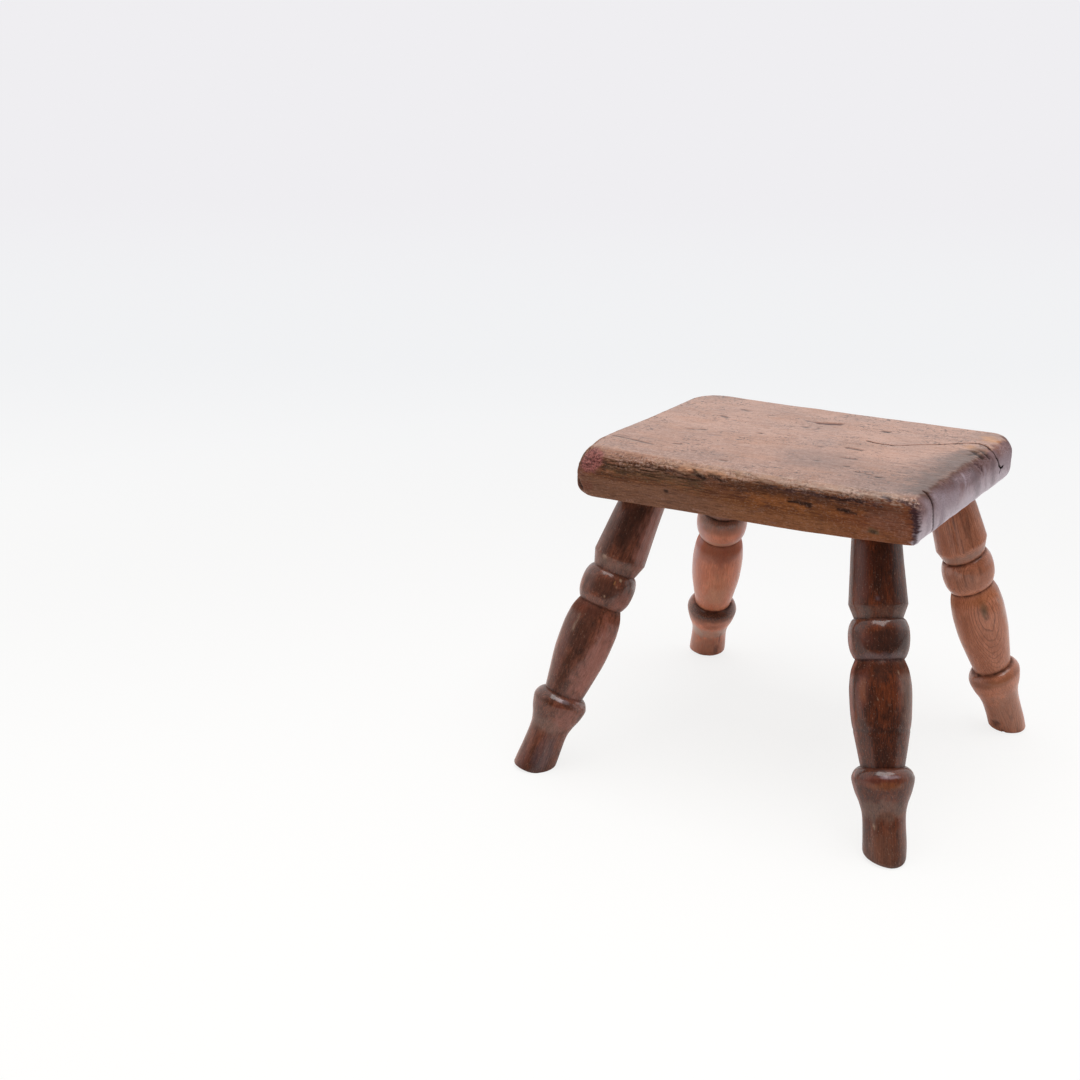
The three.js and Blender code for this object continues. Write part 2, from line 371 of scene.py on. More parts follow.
@dataclass(frozen=True)
class SeatFinish:
    """Old red-brown stain on the plank, rubbed pale and waxed on top and soiled on its edges, with painted
    shade and sheen.
    """

    pale: Colour = (0.47, 0.252, 0.178)
    brown: Colour = (0.180, 0.069, 0.036)
    orange: Colour = (0.37, 0.145, 0.06)
    streak: Colour = (0.10, 0.042, 0.028)
    film: Colour = (0.52, 0.330, 0.265)
    edge_warm: Colour = (0.300, 0.115, 0.048)
    edge_orange: Colour = (0.25, 0.085, 0.025)
    edge_brown: Colour = (0.122, 0.036, 0.012)
    edge_grey: Colour = (0.225, 0.108, 0.068)
    edge_light: Colour = (0.420, 0.180, 0.080)
    edge_dark: Colour = (0.046, 0.014, 0.006)
    edge_red: Colour = (0.210, 0.054, 0.020)
    # End colours: the purple and pale lilac are partly painted sheen, the darkest is painted shade on the
    # upper rounding, the lightest a painted floor reflection.
    end_top_shade: Colour = (0.160, 0.086, 0.084)
    end_floor_reflection: Colour = (0.760, 0.680, 0.740)
    end_purple_sheen: Colour = (0.290, 0.172, 0.188)
    end_pale_sheen: Colour = (0.540, 0.410, 0.440)
    red_patch: Colour = (0.360, 0.120, 0.105)
    red_grain: Colour = (0.130, 0.040, 0.040)
    dirt: Colour = (0.016, 0.007, 0.007)
    polish: Polish = Polish(specular=0.14, coat_roughness=0.3)

    def material(self) -> bpy.types.Material:
        """Make the plank's material.

        Returns:
            The material.
        """
        material, graph = new_material("waxed_plank")
        place = graph.place()
        front = graph.painted("front")
        end = graph.painted("end")
        dirt = graph.painted("dirt")

        cloud = graph.grain(place, (46.0, 34.0, 22.0), detail=3.0, shift=(9.0, 4.0, 2.0))
        streak = graph.grain(place, (30.0, 4.0, 1.5), detail=4.0, roughness=0.65)
        fibre = graph.grain(place, (9.0, 2.2, 0.8), detail=4.0, roughness=0.7, shift=(3.0, 7.0, 2.0))
        mottle = graph.grain(place, (5.0, 5.0, 2.4), detail=5.0, roughness=0.75, shift=(1.0, 8.0, 5.0))
        wood = PlankGrain(graph, place, cloud, streak, fibre, mottle)
        dashes = self._dashes(wood)

        top = self._top(wood, dashes)
        side = self._side(wood)
        butt = self._end(wood)
        colour = graph.blend(front, top, side)
        colour = graph.blend(end, colour, butt)
        tint = graph.blend((fibre.spread(3.0) - 0.2) * 0.5, graph.painted("tint", "Color"), self.dirt)
        colour = graph.blend(graph.painted("tint", "Alpha"), colour, tint)
        speckle = graph.grain(place, (1.7, 2.4, 1.7), detail=2.0, roughness=0.7, shift=(3.0, 3.0, 3.0))
        crust = graph.blend(speckle.above(0.42, 0.60), self.red_patch, self.red_grain)
        colour = graph.blend(graph.painted("red"), colour, crust)
        rough = graph.painted("rough") * (1.0 - graph.painted("red"))
        colour = graph.blend(speckle.above(0.52, 0.62) * rough * 0.3, colour, self.brown)
        colour = graph.blend((1.0 - speckle.above(0.38, 0.50)) * rough * 0.65, colour, self.film)
        pit = graph.grain(place, (2.6, 2.0, 1.2), detail=2.0, roughness=0.7, shift=(8.0, 1.0, 1.0))
        pit = pit.above(0.60, 0.66)
        colour = graph.blend(pit * rough * 0.5, colour, self.edge_dark)
        colour = graph.blend(dirt, colour, self.dirt)

        fleck = graph.grain(place, (1.8, 2.6, 1.1), detail=2.0, roughness=0.7, shift=(5.0, 2.0, 6.0))
        fine = (0.14 + 0.14 * front - 0.04 * end) * (0.3 + 1.4 * cloud)
        colour = graph.blend(fleck.above(0.53, 0.66) * fine, colour, self.streak)
        colour = graph.blend((1.0 - fleck.above(0.33, 0.46)) * fine * 0.6, colour, self.film)
        relief = streak.spread(2.0) * 0.35 + fibre.spread(2.0) * 0.35
        relief = relief + mottle.spread(2.0) * 0.4 - dashes * 0.7
        relief = relief * (1.0 - 0.45 * end) - fleck.spread(2.0) * (0.3 - 0.2 * end)
        relief = relief - rough * (pit + speckle)
        normal = graph.bump(relief - graph.painted("red") * speckle * 1.5, 0.5, 0.8)
        dull = 0.26 + 0.45 * mottle + 0.25 * front + 0.3 * end + 0.3 * dirt
        wax = 0.3 + 0.5 * cloud - 0.9 * end - 0.9 * front - dirt - 0.5 * graph.painted("red")
        self.polish.shade(graph, colour, dull.clipped(), wax.clipped(), normal)
        return material

    def _dashes(self, wood: PlankGrain) -> Signal:
        """Short dark dashes and dots along the grain, in loose groups.

        Args:
            wood: the plank's noises.

        Returns:
            How dark each place is.
        """
        graph, place = wood.graph, wood.place
        dash = graph.grain(place, (7.0, 3.0, 1.4), detail=3.0, roughness=0.6, shift=(0.0, 5.0, 0.0))
        dot = graph.grain(place, (2.2, 3.0, 1.3), detail=2.0, shift=(6.0, 1.0, 3.0))
        group = graph.grain(place, (38.0, 30.0, 22.0), detail=2.0, shift=(4.0, 4.0, 4.0))
        group = 0.08 * group.above(0.36, 0.62)
        return ((dash + group).above(0.69, 0.71) + (dot + group).above(0.70, 0.72)).clipped()

    def _top(self, wood: PlankGrain, dashes: Signal) -> Signal:
        """Colour of the rubbed top, browner towards the front.

        Args:
            wood: the plank's noises.
            dashes: how dark the dashes are.

        Returns:
            The colour.
        """
        graph, place = wood.graph, wood.place
        _, across, _ = graph.split(place)
        towards_front = 1.0 - across.above(-160.0, 60.0)
        tone = 0.42 * towards_front + 0.5 * wood.cloud.spread(3.0) + 0.3 * wood.mottle.spread(3.5)
        tone = tone + 0.16 * wood.streak.spread(3.0) - 0.30
        colour = graph.blend(tone.clipped(), self.pale, self.brown)
        warm = graph.grain(place, (60.0, 30.0, 30.0), detail=3.0, shift=(5.0, 9.0, 1.0))
        colour = graph.blend(warm.above(0.45, 0.66) * 0.35, colour, self.orange)
        colour = graph.blend(wood.streak.above(0.56, 0.70) * 0.4, colour, self.streak)
        colour = graph.blend((1.0 - wood.fibre.above(0.30, 0.44)) * 0.35, colour, self.film)
        rough = 0.35 + 0.65 * (1.0 - across.above(-124.0, -60.0))
        speckle = graph.grain(place, (1.6, 3.4, 1.6), detail=2.0, roughness=0.6, shift=(1.0, 1.0, 3.0))
        colour = graph.blend(speckle.above(0.55, 0.67) * rough * 0.75, colour, self.streak)
        colour = graph.blend((1.0 - speckle.above(0.33, 0.45)) * rough * 0.75, colour, self.film)
        return graph.blend(dashes * 0.85, colour, self.edge_dark)

    def _side(self, wood: PlankGrain) -> Signal:
        """Colour of the front and back edges: painted shade under the arris, orange wood, then a greyer
        band.

        Args:
            wood: the plank's noises.

        Returns:
            The colour.
        """
        graph, place = wood.graph, wood.place
        along, _, height = graph.split(place)
        patch = graph.grain(place, (42.0, 12.0, 8.0), detail=3.0, shift=(2.0, 5.0, 8.0))
        tone = 0.7 * patch.spread(3.0) + 0.5 * wood.streak.spread(3.5) + 0.3 * wood.fibre.spread(3.0) - 0.25
        colour = graph.blend(tone.clipped(), self.edge_orange, self.edge_brown)
        greyer = 1.0 - along.above(-60.0, 40.0)
        redder = along.above(60.0, 110.0)
        colour = graph.blend((0.35 + patch).clipped() * redder, colour, self.edge_red)
        low = (1.0 - (height + 9.0 * patch - 5.0 * greyer).above(243.0, 252.0)) * (1.0 - 0.4 * redder)
        low_tone = graph.blend(greyer, self.edge_warm, self.edge_grey)
        colour = graph.blend((low + 0.25 * greyer).clipped() * 0.8, colour, low_tone)
        # painted shade on the upper band of the edge, under the overhanging arris
        shade_under_arris = height.above(253.0, 264.0) * wood.cloud.above(0.34, 0.56)
        colour = graph.blend(shade_under_arris * 0.35, colour, self.edge_dark)
        # dark fibres grow denser towards the top
        dark_fibre_share = 0.4 + 0.35 * height.above(244.0, 254.0)
        colour = graph.blend(wood.fibre.above(0.50, 0.62) * dark_fibre_share, colour, self.edge_dark)
        colour = graph.blend(wood.mottle.above(0.56, 0.72) * 0.35, colour, self.edge_orange)
        return graph.blend((1.0 - wood.fibre.above(0.34, 0.46)) * 0.3, colour, self.edge_light)

    def _end(self, wood: PlankGrain) -> Signal:
        """Colour of the end grain, dark and purple with paler upright waves, under painted sheen and shade.

        Args:
            wood: the plank's noises.

        Returns:
            The colour.
        """
        graph, place = wood.graph, wood.place
        wave = graph.grain(place, (60.0, 9.0, 26.0), detail=3.0, shift=(7.0, 3.0, 1.0))
        _, _, height = graph.split(place)
        # the purple and pale lilac waves carry a painted sheen over the end grain
        tone = wave.spread(3.0) * 0.8 + wood.cloud * 0.3 - 0.2
        colour = graph.blend(tone.clipped(), self.end_purple_sheen, self.end_pale_sheen)
        # painted shade darkens the upper rounding of the end
        colour = graph.blend(height.above(252.0, 265.0) * 0.8, colour, self.end_top_shade)
        grime = graph.grain(place, (30.0, 3.2, 5.0), detail=4.0, roughness=0.65, shift=(1.0, 3.0, 7.0))
        colour = graph.blend(grime.above(0.54, 0.7) * 0.35, colour, self.edge_dark)
        colour = graph.blend(wood.mottle.above(0.54, 0.74) * 0.25, colour, self.edge_brown)
        # a painted reflection of the floor lightens the lower part of the end
        low = 1.0 - (height + 9.0 * (wave.spread(2.0) - 0.5) + 10.0 * (grime - 0.5)).above(237.0, 263.0)
        return graph.blend(low * 0.85, colour, self.end_floor_reflection)


@dataclass(frozen=True)
class LegFinish:
    """Stain and wax on a turned leg, with the growth rings that the turning has laid open."""

    name: str
    dark: Colour
    light: Colour
    ring: Colour
    ring_strength: float = 0.25
    ring_width: float = 0.95
    ring_bearing: float = 0.0
    ring_phase: float = 0.0
    ring_lean: float = 0.01
    cloud_low: float = 0.35
    cloud_high: float = 0.65
    wax: float = 0.6
    pore: float = 0.6
    dust: Colour = (0.42, 0.26, 0.19)
    dirt: Colour = (0.012, 0.005, 0.004)
    polish: Polish = Polish(specular=0.16, coat_roughness=0.15, sheen=0.3, sheen_tint=(0.95, 0.45, 0.33))

    def material(self, origin: Place, turn: Place) -> bpy.types.Material:
        """Make one leg's material.

        Args:
            origin: where the leg's axis leaves the seat.
            turn: the leg's own axes as an Euler angle.

        Returns:
            The material, with its grain along the leg.
        """
        material, graph = new_material(self.name)
        place = graph.place(origin, turn)
        line = graph.grain(place, (0.9, 0.9, 30.0), detail=3.0, roughness=0.65, shift=(1.0, 6.0, 3.0))
        cloud = graph.grain(place, (15.0, 15.0, 34.0), detail=3.0, shift=(8.0, 1.0, 4.0))
        mottle = graph.grain(place, (2.4, 2.4, 5.0), detail=4.0, roughness=0.7)
        speckle = graph.grain(place, (0.9, 0.9, 1.8), detail=2.0, roughness=0.6, shift=(6.0, 2.0, 2.0))
        dirt = graph.painted("dirt")

        tone = 0.6 * cloud.above(self.cloud_low, self.cloud_high) + 0.6 * line.spread(4.0)
        tone = tone + 0.4 * mottle.spread(3.5) - 0.45
        colour = graph.blend(tone.clipped(), self.dark, self.light)
        ring = self._ring(graph, place, mottle)
        clear = 1.0 - graph.painted("plain")
        colour = graph.blend(ring * self.ring_strength * (0.3 + 1.4 * cloud) * clear, colour, self.ring)
        pore = graph.grain(place, (0.6, 0.6, 5.0), detail=1.0, shift=(2.0, 9.0, 9.0)).above(0.57, 0.67)
        colour = graph.blend(pore * self.pore, colour, self.dirt)
        grainy = (0.7 - line.spread(3.0)).clipped() * 0.5
        tint = graph.blend(grainy, graph.painted("tint", "Color"), self.dark)
        colour = graph.blend(graph.painted("tint", "Alpha"), colour, tint)
        colour = graph.blend(speckle.above(0.62, 0.70) * 0.3, colour, self.dust)
        colour = graph.blend((1.0 - speckle.above(0.30, 0.40)) * 0.8 * self.pore, colour, self.dirt)
        colour = graph.blend(dirt, colour, self.dirt)

        marks = graph.grain(place, (40.0, 40.0, 1.1), detail=2.0, shift=(0.0, 0.0, 4.0))
        relief = line.spread(2.0) * 0.3 + mottle.spread(2.0) * 0.35
        relief = relief + marks * 0.2 - pore * 0.3 + speckle * 0.2
        normal = graph.bump(relief, 0.34, 0.75)
        dull = 0.34 + 0.28 * mottle.spread(2.0) + 0.3 * dirt + 0.4 * graph.painted("matt")
        shine = graph.painted("shine")
        wax = self.wax * (0.5 + cloud) + 0.8 * shine - dirt - graph.painted("matt")
        self.polish.shade(graph, colour, dull.clipped(), wax.clipped(), normal)
        return material

    def _ring(self, graph: Graph, place: Signal, mottle: Signal) -> Signal:
        """Dark late-wood lines where the growth rings, nearly flat planes here, come out.

        Args:
            graph: the material's graph.
            place: where in the leg's own axes.
            mottle: a fine noise that frays the lines.

        Returns:
            How dark each place is.
        """
        across, side, along = graph.split(place)
        bearing = math.radians(self.ring_bearing)
        bend = graph.grain(place, (16.0, 16.0, 90.0), detail=2.0, shift=(5.0, 2.0, 8.0))
        depth = across * math.cos(bearing) + side * math.sin(bearing) + along * self.ring_lean
        saw = ((depth + bend * 4.0 + mottle * 0.35 + self.ring_phase) / self.ring_width).fraction()
        return saw.above(0.66, 0.90) * (1.0 - saw.above(0.93, 1.0))


@dataclass(frozen=True)
class SplitWood:
    """Bare split hardwood of a hidden wedge."""

    pale: Colour = (0.56, 0.41, 0.25)
    dark: Colour = (0.40, 0.27, 0.15)
    polish: Polish = Polish(specular=0.3)

    def material(self) -> bpy.types.Material:
        """Make the wedges' material.

        Returns:
            The material.
        """
        material, graph = new_material("bare_wedge_wood")
        place = graph.place()
        fibre = graph.grain(place, (0.6, 0.6, 18.0), detail=3.0)
        colour = graph.blend(fibre.above(0.35, 0.7), self.pale, self.dark)
        normal = graph.bump(fibre, 0.15)
        self.polish.shade(graph, colour, 0.55 + 0.25 * fibre, 0.0, normal)
        return material


def new_piece(shape: bmesh.types.BMesh, name: str) -> bpy.types.Object:
    """Make an object of a shape and put it in the scene.

    Args:
        shape: the shape, which is used up.
        name: what it is called.

    Returns:
        The object.
    """
    mesh = bpy.data.meshes.new(name)
    shape.to_mesh(mesh)
    shape.free()
    piece = bpy.data.objects.new(name, mesh)
    bpy.context.scene.collection.objects.link(piece)
    return piece


def cut_out(piece: bpy.types.Object, cutter: bpy.types.Object) -> None:
    """Cut one closed shape out of a piece, and drop the cutter.

    Args:
        piece: what is cut.
        cutter: the closed shape to take away.
    """
    modifier = piece.modifiers.new("cut", "BOOLEAN")
    modifier.operation = "DIFFERENCE"
    modifier.solver = "EXACT"
    modifier.object = cutter
    graph = bpy.context.evaluated_depsgraph_get()
    cut = bpy.data.meshes.new_from_object(piece.evaluated_get(graph))
    piece.modifiers.clear()
    whole = piece.data
    piece.data = cut
    cut.name = whole.name
    bpy.data.meshes.remove(whole)
    bpy.data.meshes.remove(cutter.data)


def finish_piece(piece: bpy.types.Object, node: str, material: bpy.types.Material) -> None:
    """Turn a piece into metres, smooth it, dress it and hang it on the frame.

    Args:
        piece: the piece, still in millimetres.
        node: the CAD node that it stands for.
        material: its finish.
    """
    shape = bmesh.new()
    shape.from_mesh(piece.data)
    bmesh.ops.scale(shape, vec=(MM, MM, MM), verts=shape.verts)
    for face in shape.faces:
        face.smooth = True
    for edge in shape.edges:
        edge.smooth = edge.calc_face_angle(0.0) < SHARP_ANGLE
    shape.to_mesh(piece.data)
    shape.free()
    piece.data.materials.clear()
    piece.data.materials.append(material)
    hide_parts(node)
    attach(piece, "root")
    log.info("%s: %d faces", piece.name, len(piece.data.polygons))


class Relief:
    """The points of a shape, pushed in and painted by formula."""

    path_step = 3.0

    def __init__(self, shape: bmesh.types.BMesh) -> None:
        """Read the shape's points and the way each of them faces.

        Args:
            shape: the shape, in millimetres.
        """
        shape.normal_update()
        self.shape = shape
        self.places = np.array([v.co for v in shape.verts])
        self.normals = np.array([v.normal for v in shape.verts])
        self.push = np.zeros(len(self.places))
        self.paints: dict[str, np.ndarray] = {}
        self.tints = np.zeros((len(self.places), 4))
        self.surface = BVHTree.FromBMesh(shape)

    def paint(self, name: str, amount: np.ndarray) -> None:
        """Add to one of the shape's paints, which stays between 0 and 1."""
        before = self.paints.get(name, np.zeros(len(self.places)))
        self.paints[name] = np.clip(np.maximum(before, amount), 0.0, 1.0)

    def near(self, centre: Place, reach: Place) -> np.ndarray:
        """How near each point is to a place, as a soft spot of that reach along x, y and z."""
        return bell(np.linalg.norm((self.places - np.array(centre)) / np.array(reach), axis=1))

    def near_path(self, path: Sequence[Place], reach: float) -> np.ndarray:
        """Measure how far points are from a line drawn on the surface.

        Args:
            path: places that the line passes.
            reach: points farther away than this count as endlessly far.

        Returns:
            The distance of each point.
        """
        line = np.array(self._on_surface(path))
        outside = np.abs(self.places - np.clip(self.places, line.min(0), line.max(0)))
        close = np.all(outside <= reach, axis=1)
        places = self.places[close]
        best = np.linalg.norm(places - line[0], axis=1)
        for start, stop in zip(line, line[1:]):
            step = stop - start
            part = np.clip((places - start) @ step / max(step @ step, 1e-9), 0.0, 1.0)
            best = np.minimum(best, np.linalg.norm(places - start - part[:, None] * step, axis=1))
        distances = np.full(len(self.places), np.inf)
        distances[close] = best
        return distances

    def _on_surface(self, path: Sequence[Place]) -> list[np.ndarray]:
        """Lay a path on the surface, in short steps.

        Args:
            path: places near the surface.

        Returns:
            Points on the surface.
        """
        points = [Vector(path[0])]
        for start, stop in zip(path, path[1:]):
            count = max(1, round((Vector(stop) - Vector(start)).length / self.path_step))
            points += [Vector(start).lerp(Vector(stop), (i + 1) / count) for i in range(count)]
        return [np.array(self.surface.find_nearest(point)[0]) for point in points]

    def tint(self, colour: Colour, amount: np.ndarray) -> None:
        """Lay a colour over the shape's tints.

        Args:
            colour: what is laid on.
            amount: how much of it at each point.
        """
        amount = np.clip(amount, 0.0, 1.0)[:, None]
        cover = self.tints[:, 3:] * (1.0 - amount) + amount
        laid = self.tints[:, :3] * self.tints[:, 3:] * (1.0 - amount) + np.array(colour) * amount
        self.tints = np.hstack((laid / np.maximum(cover, 1e-6), cover))

    def apply(self) -> None:
        """Move the points in along their normals and store the paints and tints on the shape."""
        moved = self.places - self.normals * self.push[:, None]
        for vert, place in zip(self.shape.verts, moved):
            vert.co = place
        for name, amount in self.paints.items():
            layer = self.shape.verts.layers.float.new(name)
            for vert, value in zip(self.shape.verts, amount.tolist()):
                vert[layer] = value
        layer = self.shape.verts.layers.float_color.new("tint")
        for vert, value in zip(self.shape.verts, self.tints.tolist()):
            vert[layer] = value


@dataclass(frozen=True)
class Stroke:
    """A soft stroke of colour drawn on the surface, broken up along the grain, that can also be a cut."""

    paint: Paint
    path: tuple[Place, ...]
    reach: float
    strength: float = 0.8
    broken: float = 0.5
    cut: float = 0.0


@dataclass(frozen=True)
class Crack:
    """A crack along a path, as a dark groove with straight sides."""

    path: tuple[Place, ...]
    width: float = 0.9
    depth: float = 1.2
    dirt: float = 1.0


@dataclass(frozen=True)
class Corner:
    """A corner of the plank in plan, with the radius that wear has left on it."""

    x: float
    y: float
    radius: float

    def place(self) -> Vector:
        """Where the corner would be if it were square."""
        return Vector((self.x, self.y))


def top_stroke(
    paint: Paint,
    path: Sequence[Point],
    reach: float,
    strength: float,
    broken: float = 0.5,
    cut: float = 0.0,
) -> Stroke:
    """A stroke on the seat's flat top, drawn in plan."""
    return Stroke(paint, tuple((x, y, SEAT_HEIGHT) for x, y in path), reach, strength, broken, cut)


# Cracks in the top and the right end
CRACKS: tuple[Crack, ...] = (
    Crack(
        (
            (66.5, 29.8, 270.0), (74.0, 33.5, 270.0), (85.0, 44.0, 270.0), (101.5, 57.7, 270.0),
            (111.0, 68.0, 270.0), (117.5, 72.7, 270.0), (123.5, 74.7, 270.0),
        ),
        width=1.9,
        depth=0.8,
        dirt=0.8,
    ),
    Crack(
        (
            (117.5, 72.7, 270.0), (123.5, 74.7, 270.0), (130.3, 71.1, 269.6), (137.1, 63.5, 268.6),
            (142.7, 60.9, 263.7), (144.0, 66.5, 256.6), (144.3, 75.4, 251.5),
        ),
        width=2.8,
        depth=2.2,
    ),
    Crack(((144.3, 81.2, 252.3), (144.3, 75.4, 252.0), (144.3, 71.1, 249.0)), width=3.0, depth=2.0),
    Crack(
        (
            (45.0, 32.0, 270.0), (52.0, 29.3, 270.0), (60.0, 28.2, 270.0), (67.0, 29.9, 270.0),
        ),
        width=3.0,
        depth=1.3,
    ),
    Crack(
        (
            (134.5, -91.5, 269.6), (139.2, -94.3, 267.2), (141.2, -95.4, 265.1), (143.3, -95.8, 260.0),
            (143.6, -94.8, 256.0), (143.5, -92.8, 249.0), (143.3, -91.6, 244.2), (142.2, -90.5, 239.0),
        ),
        width=3.4,
        depth=2.8,
    ),
)
